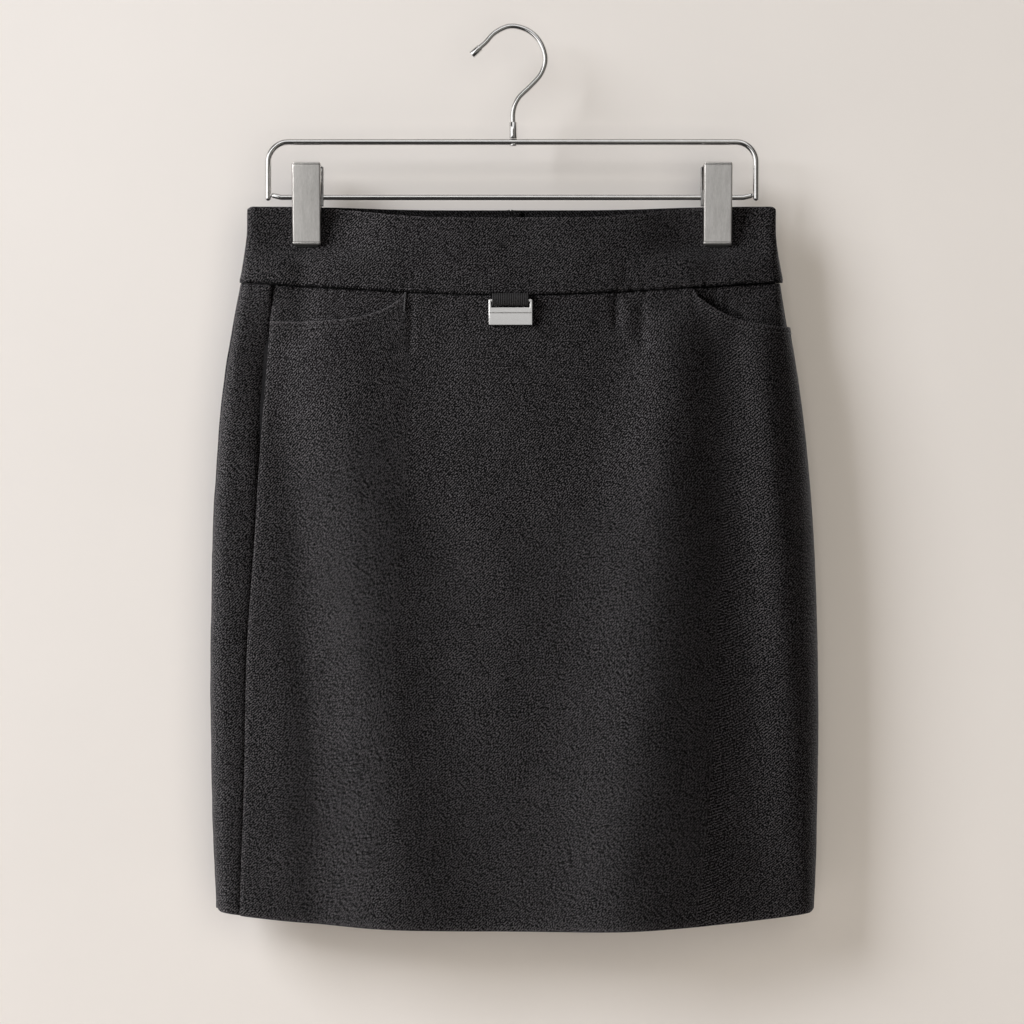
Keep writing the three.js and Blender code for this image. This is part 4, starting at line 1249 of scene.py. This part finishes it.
class SkortClothSettings(bpy.types.PropertyGroup):
    """Colours and weave of the cloth parts."""

    twill_dark: colour_property("Twill dark", "Darkest yarn of the twill", 0.0012, 0.0011, 0.0013)
    twill_light: colour_property("Twill light", "Light flecks of the twill", 0.108, 0.1015, 0.1065)
    shorts_dark: colour_property("Shorts dark", "Grooves of the shorts' knit", 0.006, 0.006, 0.007)
    shorts_light: colour_property("Shorts light", "Loops of the shorts' knit", 0.030, 0.029, 0.031)
    webbing_dark: colour_property("Webbing dark", "Grooves of the loop", 0.006, 0.006, 0.006)
    webbing_light: colour_property("Webbing light", "Ribs of the loop", 0.075, 0.072, 0.074)
    thread_colour: colour_property("Thread", "Thread of the pocket mouths", 0.09, 0.087, 0.09)
    twill_pitch: bpy.props.FloatProperty(
        name="Twill pitch", description="Distance between two ribs of the twill",
        default=0.0015, min=0.0005, max=0.005, unit="LENGTH",
    )
    twill_angle: bpy.props.FloatProperty(
        name="Twill angle", description="How steeply the ribs rise to the right",
        default=math.radians(46), min=0.0, max=math.radians(90), subtype="ANGLE",
    )
    stitch_length: bpy.props.FloatProperty(
        name="Stitch length", description="Length of one stitch beside a pocket's mouth",
        default=0.0029, min=0.001, max=0.006, unit="LENGTH",
    )


class SkortMetalSettings(bpy.types.PropertyGroup):
    """Colours of the metal parts, and of the clips' rubber pads."""

    wire_colour: colour_property("Wire", "Polished wire of the hanger", 0.80, 0.79, 0.78)
    steel_dark: colour_property("Steel dark", "Brush strokes of the clips", 0.29, 0.277, 0.262)
    steel_light: colour_property("Steel light", "Worn steel of the clips", 0.62, 0.60, 0.575)
    spring_dark: colour_property("Spring dark", "Bloom on the springs", 0.10, 0.098, 0.096)
    spring_light: colour_property("Spring light", "Bare steel of the springs", 0.34, 0.33, 0.32)
    tag_colour: colour_property("Tag", "Satin silver of the tag", 0.70, 0.687, 0.67)
    # The darkest rubber also colours the pads' strip below the jaws, a painted shadow.
    rubber_and_shadow_dark: colour_property("Rubber dark", "Rubber of the clips' pads", 0.004, 0.004, 0.004)
    rubber_light: colour_property("Rubber light", "Dust on the pads", 0.016, 0.016, 0.015)


class SkortStudioSettings(bpy.types.PropertyGroup):
    """The wall, the floor and the light."""

    wall_colour: colour_property("Wall", "Paint of the wall and the floor", 0.82, 0.766, 0.716)
    window_power: bpy.props.FloatProperty(
        name="Window light", description="Power of the soft light from the upper left",
        default=46.0, min=0.0, max=500.0, unit="POWER",
    )
    fill_power: bpy.props.FloatProperty(
        name="Fill light", description="Power of the wide soft light from the right",
        default=9.0, min=0.0, max=500.0, unit="POWER",
    )


# ---------------------------------------------------------------- operators


class SkortPiece:
    """What the operators of the skort share."""

    bl_options = {"REGISTER", "UNDO"}

    def execute(self, context):
        self.build(context.scene)
        return {"FINISHED"}


def outer_twill(scene):
    return finish_of(heathered_twill, scene.skort_cloth, "Skirt_Heathered_Twill")


def shaded_inner_twill(scene):
    """The same twill at half brightness, as painted shade inside the skirt and the band, where
    little light reaches.
    """
    return finish_of(heathered_twill, scene.skort_cloth, "Inside_Heathered_Twill", 0.5)


class SKORT_OT_skirt(SkortPiece, bpy.types.Operator):
    """Hang the three panels of the skirt, with the allowances of their seams"""

    bl_idname = "skort.skirt"
    bl_label = "Skirt Panels"

    def build(self, scene):
        # The inner faces and the allowances take the half-bright twill as painted shade.
        material, painted_shade_twill = outer_twill(scene), shaded_inner_twill(scene)
        for name, panel, columns, node in (
            ("front_panel", FRONT, 250, "skirt_front"),
            ("back_panel_left", BACK_LEFT, 130, "skirt_back_left"),
            ("back_panel_right", BACK_RIGHT, 130, "skirt_back_right"),
        ):
            piece = cloth(
                name, panel, columns, 160, SKIRT_CLOTH, material, "twill", [node],
            )
            shade_inside(piece, painted_shade_twill)
        for name, seam, sewn_to in (
            ("allowance_back", "back", ["skirt_back_left", "skirt_back_right"]),
            ("allowance_left", "left", ["skirt_front", "skirt_back_left"]),
        ):
            strip = seam_allowance(SEAMS[seam])
            cloth(name, strip, 12, 120, ALLOWANCE["cloth"], painted_shade_twill, "twill", [])


class SKORT_OT_waistband(SkortPiece, bpy.types.Operator):
    """Fold the wide waistband round the top, front and back"""

    bl_idname = "skort.waistband"
    bl_label = "Waistband"

    def build(self, scene):
        # The inner faces and the underlap take the half-bright twill as painted shade.
        material, painted_shade_twill = outer_twill(scene), shaded_inner_twill(scene)
        for name, panel, columns, node in (
            ("band_front", BAND_FRONT, 250, "waistband_front"),
            ("band_back_left", BAND_BACK_LEFT, 130, "waistband_back_left"),
            ("band_back_right", BAND_BACK_RIGHT, 130, "waistband_back_right"),
        ):
            piece = cloth(
                name, panel, columns, 40, BAND_CLOTH, material, "twill", [node]
            )
            piece.modifiers["Soft edges"].use_clamp_overlap = True
            shade_inside(piece, painted_shade_twill)
        cloth(
            "band_underlap", UNDERLAP, 14, 30, UNDERLAP_SIZE["cloth"], painted_shade_twill, "twill", [],
        )


class SKORT_OT_pockets(SkortPiece, bpy.types.Operator):
    """Set the facings behind the pocket mouths, and sew along the mouths"""

    bl_idname = "skort.pockets"
    bl_label = "Pocket Facings and Stitches"

    def build(self, scene):
        material = finish_of(heathered_twill, scene.skort_cloth, "Facing_Heathered_Twill")
        for name, panel, node in (
            ("facing_right", FACING_RIGHT, "pocket_facing_right"),
            ("facing_left", FACING_LEFT, "pocket_facing_left"),
        ):
            cloth(
                name, panel, 110, 40, FACING_CLOTH, material, "facing", [node],
            )
        thread = finish_of(sewing_thread, scene.skort_cloth)
        length = scene.skort_cloth.stitch_length / MM
        for side in POCKETS:
            row = bmesh.new()
            for point, way, normal in self.mouth_row(side, length * MOUTH_ROW["spacing"]):
                stitch(row, point, way, normal, length)
            if side == "right":
                for point, way, normal in self.bar_tack():
                    stitch(row, point, way, normal, BAR_TACK["long"])
            name = f"mouth_stitches_{side}"
            add_piece(name, to_mesh(row, name), thread, "twill", [])

    def bar_tack(self):
        """Places of the close stitches that hold down the inner end of the right mouth."""
        z = np.linspace(BAR_TACK["top"], BAR_TACK["bottom"], BAR_TACK["stitches"])
        x = BAR_TACK["x"] + BAR_TACK["lean"] * (z - BAR_TACK["top"])
        points, normal = FRONT.surface(angle_at(x, z, True), z)
        for point, up in zip(points, normal):
            yield point, (1, 0, 0.12), up

    def mouth_row(self, side, spacing):
        """Places of the stitches in a row below one mouth."""
        z = np.array([WAIST_SEAM - 25.0])
        inner = float(angle_at(POCKETS[side]["inner"], z, True)[0])
        outer = float(SEAMS[side](z)[0])
        angle = np.linspace(inner, outer, 1200)
        height = front_top(angle) - MOUTH_ROW["below"]
        inside = past_mouth(side, angle) > MOUTH_ROW["starts"]
        points, normal = FRONT.surface(angle[inside], height[inside])
        length = np.concatenate([[0], np.cumsum(np.linalg.norm(np.diff(points, axis=0), axis=1))])
        for place in np.arange(2, length[-1] - 3, spacing):
            k = int(np.searchsorted(length, place))
            yield points[k], points[min(k + 4, len(points) - 1)] - points[k - 4], normal[k]


def stitch(bm, point, way, normal, length):
    """One short stitch of thread that lies on the cloth, sunk at both ends."""
    way, up = Vector(way).normalized(), Vector(normal).normalized()
    turn = Matrix((way, up.cross(way), up)).transposed().to_4x4()
    size = Matrix.Diagonal((length / 2, STITCH["half_wide"], STITCH["half_high"], 1))
    place = Matrix.Translation(Vector(point) + up * STITCH["lift"])
    bmesh.ops.create_uvsphere(bm, u_segments=8, v_segments=6, radius=1, matrix=place @ turn @ size)


class SKORT_OT_shorts(SkortPiece, bpy.types.Operator):
    """Hang the inner shorts inside the skirt"""

    bl_idname = "skort.shorts"
    bl_label = "Inner Shorts"

    def build(self, scene):
        material = finish_of(jersey_knit, scene.skort_cloth)
        for side in ("left", "right"):
            cloth(
                f"shorts_half_{side}", shorts_half(side == "left"), 150, 110, SHORTS_CLOTH,
                material, "shorts", [f"shorts_{side}"],
            )


class SKORT_OT_loop(SkortPiece, bpy.types.Operator):
    """Fold the webbing loop round the bar of the tag"""

    bl_idname = "skort.loop"
    bl_label = "Webbing Loop"

    def build(self, scene):
        material = finish_of(ribbed_webbing, scene.skort_cloth)
        cloth(
            "webbing_loop", self.shape, 60, 60, LOOP["cloth"], material, "webbing",
            ["tag_loop"],
        )

    def shape(self, columns, rows):
        """The tape seen from outside: up from the seam in front, round the bar and back."""
        away, low = tag_line()
        skin_y = float(skin_point(math.pi / 2, TAG["z"])[1])
        path = [
            (0, start + y, low + z)
            for start, part in ((skin_y, LOOP_FRONT), (away, LOOP_ROUND_BAR), (skin_y, LOOP_BACK))
            for y, z in part
        ]
        line = np.array([tuple(p) for p in smooth_line(path, rows + 1)])
        x = np.linspace(-1, 1, columns + 1) * LOOP["width"] / 2
        selvedge = LOOP["drawn_in"] * bell(LOOP["width"] / 2 - abs(x), LOOP["selvedge"])
        points = np.zeros((rows + 1, columns + 1, 3))
        points[..., 0] = x
        points[..., 1:] = mix(line[:, None, 1:], np.array([away, low]), selvedge[None, :, None])
        return points


def tag_line():
    """The middle line of the tag's bar: how far it stands to the front, and its height."""
    low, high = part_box("tag")
    return (low.y + high.y) / 2 / MM, TAG["z"]


class SKORT_OT_tag(SkortPiece, bpy.types.Operator):
    """Cut the plain metal tag, with its groove, its arms and its bar"""

    bl_idname = "skort.tag"
    bl_label = "Metal Tag"

    def build(self, scene):
        away, low = tag_line()
        half, arm = TAG["width"] / 2, TAG["arm"]
        xs = (-half, arm - half, half - arm, half)
        zs = [low + z for z in (TAG["bottom"], *TAG["groove"], TAG["top"], TAG["arm_top"])]
        bm = bmesh.new()
        bmesh.ops.create_grid(bm, x_segments=3, y_segments=4, size=0.5)
        for vert in bm.verts:
            column, row = round((vert.co.x + 0.5) * 3), round((vert.co.y + 0.5) * 4)
            vert.co = (xs[column], away - TAG["face"], zs[row])
        middle = {face: face.calc_center_median() for face in bm.faces}
        gap = [f for f, at in middle.items() if at.z > zs[3] and abs(at.x) < 1]
        bmesh.ops.delete(bm, geom=gap, context="FACES")
        bmesh.ops.solidify(bm, geom=bm.faces[:], thickness=TAG["thick"])
        bmesh.ops.recalc_face_normals(bm, faces=bm.faces[:])
        round_over(bm, [e for e in bm.edges if e.calc_face_angle(0) > 1], TAG["round"], 3)
        groove = [
            f for f in bm.faces
            if f.normal.y < -0.99 and zs[1] < f.calc_center_median().z < zs[2]
        ]
        cut = bmesh.ops.extrude_face_region(bm, geom=groove)
        bmesh.ops.delete(bm, geom=groove, context="FACES")
        sunk = [v for v in cut["geom"] if isinstance(v, bmesh.types.BMVert)]
        bmesh.ops.translate(bm, vec=(0, TAG["groove_deep"], 0), verts=sunk)
        space = Matrix.Translation((0, 0, -(zs[1] + zs[2]) / 2))
        bmesh.ops.scale(bm, verts=sunk, space=space, vec=(1, 1, TAG["groove_foot"]))
        reach = half - arm / 2
        round_bar(bm, (-reach, away, low), (reach, away, low), TAG["bar"])
        material = finish_of(satin_silver, scene.skort_metal)
        mesh = to_mesh(bm, "tag_plate")
        piece = add_piece("tag_plate", mesh, material, "tag_metal", ["tag"], "tag")
        piece.data.set_sharp_from_angle(angle=math.radians(35))


class SKORT_OT_hanger(SkortPiece, bpy.types.Operator):
    """Bend the hanger's wires and put on its collar, rivet and hook tip"""

    bl_idname = "skort.hanger"
    bl_label = "Wire Hanger"

    def build(self, scene):
        material = finish_of(polished_wire, scene.skort_metal)

        def wire(name, line, radius, node):
            tube(name, line, radius, material, "hanger_wire", [node])

        foot = RAIL["foot"] + RAIL["radius"]
        legs = [(RAIL["right"], foot), (RAIL["right"], RAIL["z"])]
        legs += [(RAIL["left"], RAIL["z"]), (RAIL["left"], foot)]
        wire("top_wire", bent_line(legs, RAIL["bend"], 16), RAIL["radius"], "hanger_rail")
        inner = RAIL["radius"] + GAP + CROSSBAR["radius"] * CROSSBAR["beside"]
        right, left = RAIL["right"] + inner, RAIL["left"] - inner
        z, rise, run = (CROSSBAR[size] for size in ("z", "rise", "run"))
        ends = [(right, z + rise), (right + run, z), (left - run, z), (left, z + rise)]
        line = bent_line(ends, CROSSBAR["bend"], 8)
        wire("cross_wire", line, CROSSBAR["radius"], "hanger_crossbar")
        hook = smooth_line([(x, 0, z) for x, z in HOOK], 90)
        wire("hook_wire", hook, HOOK_RADIUS, "hanger_hook")
        way = (hook[-1] - hook[-2]).normalized()
        up = Vector((0, 0, 1))
        for name, profile, start, axis, node in (
            ("hook_cap", CAP, hook[-1] - way * CAP_OVERLAP, way, "hook_tip"),
            ("hook_collar", COLLAR, COLLAR_FOOT, up, "hanger_collar"),
            ("hook_rivet", RIVET, RIVET_TOP, -up, "hanger_rivet"),
        ):
            self.turned(name, profile, start, axis, material, node)

    def turned(self, name, rings, start, way, material, node):
        """A turned part: a profile of (distance, radius) spun round its axis."""
        bm = bmesh.new()
        profile = [bm.verts.new((radius, 0, at)) for at, radius in rings]
        edges = [bm.edges.new(pair) for pair in zip(profile, profile[1:])]
        bmesh.ops.spin(
            bm, geom=profile + edges, cent=(0, 0, 0), axis=(0, 0, 1), angle=FULL_TURN,
            steps=36, use_merge=True,
        )
        bmesh.ops.remove_doubles(bm, verts=bm.verts[:], dist=1e-4)
        rims = [e for e in bm.edges if e.is_boundary]
        bmesh.ops.holes_fill(bm, edges=rims, sides=0)
        bmesh.ops.recalc_face_normals(bm, faces=bm.faces[:])
        matrix = Matrix.Translation(start) @ way.to_track_quat("Z", "Y").to_matrix().to_4x4()
        bmesh.ops.transform(bm, matrix=matrix, verts=bm.verts[:])
        piece = add_piece(name, to_mesh(bm, name), material, "hanger_wire", [node])
        piece.data.set_sharp_from_angle(angle=math.radians(50))


def jaw_face(z):
    """How far a jaw's outer face stands from the middle plane, at a height."""
    return mix(JAW["foot"], JAW["head"], (z - JAW["bottom"]) / (JAW["top"] - JAW["bottom"]))


class SKORT_OT_clips(SkortPiece, bpy.types.Operator):
    """Build both spring clips: jaws, pads, springs and side brackets"""

    bl_idname = "skort.clips"
    bl_label = "Spring Clips"

    def build(self, scene):
        steel = finish_of(brushed_steel, scene.skort_metal)
        # The dark steel serves the springs, and on the brackets it is painted shade.
        tempered_and_shaded_steel = finish_of(spring_steel, scene.skort_metal)
        rubber = finish_of(grip_rubber, scene.skort_metal)
        for side, centre in CLIPS.items():
            for face, way in (("front", -1), ("back", 1)):
                self.jaw(f"{side}_{face}", centre, way, steel)
                self.pad(f"{side}_{face}", way, rubber)
            self.spring(side, centre, tempered_and_shaded_steel)
            self.bracket(side, centre, tempered_and_shaded_steel)

    def jaw(self, which, centre, way, material):
        """A pressed steel jaw: a long tray with rounded edges that leans out to the top."""
        width, deep, top, bottom = (JAW[size] for size in ("width", "deep", "top", "bottom"))
        bm = bmesh.new()
        bmesh.ops.create_cube(bm, size=1)
        for vert in bm.verts:
            x, y, z = vert.co
            vert.co = (x * width, (y + 0.5) * deep, mix(bottom, top, z + 0.5))
        outer = [e for e in bm.edges if min(v.co.y for v in e.verts) < 1]
        round_over(bm, outer, JAW["round"], 5)
        back = [f for f in bm.faces if f.calc_center_median().y > deep - 0.1]
        bmesh.ops.delete(bm, geom=back, context="FACES")
        tops = [top - away for away in JAW["rim"]]
        bottoms = [bottom + away for away in JAW["rim"]]
        slice_across(bm, (*JAW["rows"], *tops, *bottoms))
        for vert in bm.verts:
            in_groove = min(abs(vert.co.z - tops[1]), abs(vert.co.z - bottoms[1])) < 0.01
            if in_groove and vert.co.y < 0.6:
                vert.co.y += JAW["rim_groove"]
        slot_low, slot_high = JAW["slot"]
        for vert in bm.verts:
            x, y, z = vert.co
            if y > deep - 0.1 and abs(x) > width / 2 - 0.1 and slot_low < z < slot_high:
                y = jaw_face(z) - JAW["slot_deep"]
            vert.co = (centre + x, way * (jaw_face(z) - y), z)
        if way > 0:
            bmesh.ops.reverse_faces(bm, faces=bm.faces[:])
        name = f"jaw_{which}"
        node = f"clip_{which}_jaw"
        piece = add_piece(name, to_mesh(bm, name), material, "clip_steel", [node])
        thicken(piece, JAW["sheet"])
        soften(piece, 0.2)
        piece.data.set_sharp_from_angle(angle=math.radians(40))

    def pad(self, which, way, material):
        """A rubber pad behind the foot of a jaw, ribbed to grip the cloth. Its strip below the jaw
        is a painted shadow under the clip.
        """
        low, high = (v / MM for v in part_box(f"clip_{which}_pad"))
        near = min(abs(low.y), abs(high.y))
        bm = bmesh.new()
        bmesh.ops.create_cube(bm, size=1)
        rows = PAD["rows"]
        slice_across(bm, (row / rows - 0.5 for row in range(1, rows)))
        for vert in bm.verts:
            x, y, z = vert.co
            # Below the jaw's bottom the pad is a near-black strip, a painted shadow under the
            # clip.
            height = mix(JAW["bottom"] - PAD["shadow_below_jaw"], high.z, z + 0.5)
            rib = PAD["rib"] * (round((z + 0.5) * rows) % 2)
            depth = near + rib if y < 0 else jaw_face(height) - JAW["sheet"] - PAD["clear"]
            vert.co = (mix(low.x, high.x, x + 0.5), way * depth, height)
        bmesh.ops.recalc_face_normals(bm, faces=bm.faces[:])
        name = f"pad_{which}"
        piece = add_piece(name, to_mesh(bm, name), material, "clip_pad", [f"clip_{which}_pad"])
        soften(piece, 0.25)

    def spring(self, side, centre, material):
        """A coil spring round the cross wire, with two legs against the jaws."""
        turns, radius, half = SPRING["turns"], SPRING["radius"], SPRING["half"]
        line = [(centre - half, y, z) for y, z in SPRING_LEG]
        for t in np.linspace(0, 1, int(turns * SPRING["steps"]) + 1):
            a = FULL_TURN * turns * t
            x = centre + mix(-half, half, t)
            line.append((x, radius * math.cos(a), CROSSBAR["z"] + radius * math.sin(a)))
        line += [(centre + half, -y, z) for y, z in reversed(SPRING_LEG)]
        node = f"clip_{side}_spring"
        tube(f"spring_{side}", line, SPRING["wire"], material, "clip_steel", [node], domed=False)

    def bracket(self, side, centre, material):
        """The slotted strip beside a clip, which carries it on the cross wire. Its web behind the
        slot and its dark steel are painted shade.
        """
        low, high = (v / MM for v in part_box(f"clip_{side}_bracket"))
        inward = 1 if centre < 0 else -1
        near, far = (low.x, high.x) if inward > 0 else (high.x, low.x)
        half, slot = BRACKET["half"], BRACKET["slot"]
        joint = far - BRACKET["joint"] * inward
        bm = bmesh.new()
        for x0, x1, y, z0, z1 in (
            (far - BRACKET["wall"] * inward, far, half, low.z, high.z),
            (near, joint, half, high.z - BRACKET["rim"], high.z),
            (near, joint, half, low.z, slot),
            # The web behind the slot is painted shade, in the dark steel.
            (near, joint, BRACKET["shade_web_half"], slot - 0.4, high.z - 0.5),
        ):
            size = Matrix.Diagonal((abs(x1 - x0), 2 * y, z1 - z0, 1))
            place = Matrix.Translation(((x0 + x1) / 2, 0, (z0 + z1) / 2))
            bmesh.ops.create_cube(bm, size=1, matrix=place @ size)
        name = f"bracket_{side}"
        node = f"clip_{side}_bracket"
        piece = add_piece(name, to_mesh(bm, name), material, "clip_steel", [node])
        soften(piece, 0.18)


class SKORT_OT_studio(SkortPiece, bpy.types.Operator):
    """Set up the wall, the floor, the lights and the camera"""

    bl_idname = "skort.studio"
    bl_label = "Wall, Light and Camera"

    def build(self, scene):
        studio = scene.skort_studio
        paint = self.wall_paint(studio)
        wall = self.plane("wall", (0, WALL_BEHIND, ROOM["wall_z"]), 90, paint)
        floor = self.plane("floor", (0, 0, FLOOR_Z), 0, paint)
        wall.visible_shadow = floor.visible_shadow = floor.visible_glossy = False
        for name, way, distance, size, source, factor, lights_up, colour in LAMPS:
            power = getattr(studio, source) * factor
            self.lamp(name, way, distance, size, power, lights_up, colour)
        world = bpy.data.worlds.new("Pale_Room")
        world.use_nodes = True
        background = world.node_tree.nodes["Background"].inputs
        background["Color"].default_value = ROOM_LIGHT["colour"]
        background["Strength"].default_value = ROOM_LIGHT["strength"]
        scene.world = world
        scene.view_settings.view_transform = "Standard"
        camera = bpy.data.cameras.new("camera")
        camera.lens, camera.sensor_width = CAMERA["lens"], CAMERA["sensor"]
        holder = bpy.data.objects.new("camera", camera)
        holder.location = CAMERA["place"]
        holder.rotation_euler = (math.radians(90), 0, 0)
        scene.collection.objects.link(holder)
        scene.camera = holder

    def plane(self, name, place, lean, material):
        """A square of the room, turned up from the floor by a number of degrees."""
        bm = bmesh.new()
        matrix = Matrix.Translation(place) @ Matrix.Rotation(math.radians(lean), 4, "X")
        size = ROOM["size"] / 2
        bmesh.ops.create_grid(bm, x_segments=1, y_segments=1, size=size, matrix=matrix)
        mesh = to_mesh(bm, name, 1)
        mesh.materials.append(material)
        plane = bpy.data.objects.new(name, mesh)
        group("Room").objects.link(plane)
        return plane

    def wall_paint(self, studio):
        """Matt paint on the side that faces the room, and nothing on the other side."""
        paint = Finish("Wall_Matt_Paint", Roughness=0.9, **{"Specular IOR Level": 0.2})
        x, y, z = paint.place()
        cloud = paint.noise(paint.vector(x, y, z), 0.004, 3.0)
        grain = paint.noise(paint.vector(x, y, z), 0.3, 3.0)
        colour = paint.tint(studio.wall_colour, cloud * 0.08 + 0.96)
        paint.paint(Base_Color=colour, Normal=paint.relief(grain, 0.05))
        clear = paint.node("ShaderNodeBsdfTransparent", {}, {})
        back = paint.node("ShaderNodeNewGeometry", {}, {}).outputs["Backfacing"]
        inputs = {0: back, 1: paint.shader.outputs[0], 2: clear.outputs[0]}
        mixed = paint.node("ShaderNodeMixShader", {}, inputs)
        paint.tree.links.new(mixed.outputs[0], paint.output.inputs["Surface"])
        return paint.material

    def lamp(self, name, way, distance, size, power, lights_up, colour):
        """A soft rectangular light, turned to the middle of the garment, for one group only."""
        light = bpy.data.lights.new(name, "AREA")
        light.color = colour
        light.shape, light.size, light.size_y = "RECTANGLE", *size
        light.energy = power
        lamp = bpy.data.objects.new(name, light)
        way = Vector(way).normalized()
        lamp.location = LIT_MIDDLE + way * distance
        lamp.rotation_euler = way.to_track_quat("Z", "Y").to_euler()
        group("Lights").objects.link(lamp)
        lamp.light_linking.receiver_collection = group(lights_up)


class SKORT_PT_panel(bpy.types.Panel):
    """The skort's pieces and settings"""

    bl_idname = "SKORT_PT_panel"
    bl_label = "Skort on Clip Hanger"
    bl_space_type = "VIEW_3D"
    bl_region_type = "UI"
    bl_category = "Skort"

    def draw(self, context):
        for name, kind in GROUPS.items():
            box = self.layout.box()
            for setting in kind.__annotations__:
                box.prop(getattr(context.scene, name), setting)
        for piece in PIECES:
            self.layout.operator(piece.bl_idname)


PIECES = (
    SKORT_OT_skirt,
    SKORT_OT_waistband,
    SKORT_OT_pockets,
    SKORT_OT_shorts,
    SKORT_OT_loop,
    SKORT_OT_tag,
    SKORT_OT_hanger,
    SKORT_OT_clips,
    SKORT_OT_studio,
)
GROUPS = {
    "skort_cloth": SkortClothSettings,
    "skort_metal": SkortMetalSettings,
    "skort_studio": SkortStudioSettings,
}


def register():
    for made in (*GROUPS.values(), *PIECES, SKORT_PT_panel):
        bpy.utils.register_class(made)
    for name, kind in GROUPS.items():
        setattr(bpy.types.Scene, name, bpy.props.PointerProperty(type=kind))


def unregister():
    for name in GROUPS:
        delattr(bpy.types.Scene, name)
    for made in reversed((*GROUPS.values(), *PIECES, SKORT_PT_panel)):
        bpy.utils.unregister_class(made)


def main():
    register()
    for piece in PIECES:
        family, name = piece.bl_idname.split(".")
        getattr(getattr(bpy.ops, family), name)()


if __name__ == "__main__":
    main()
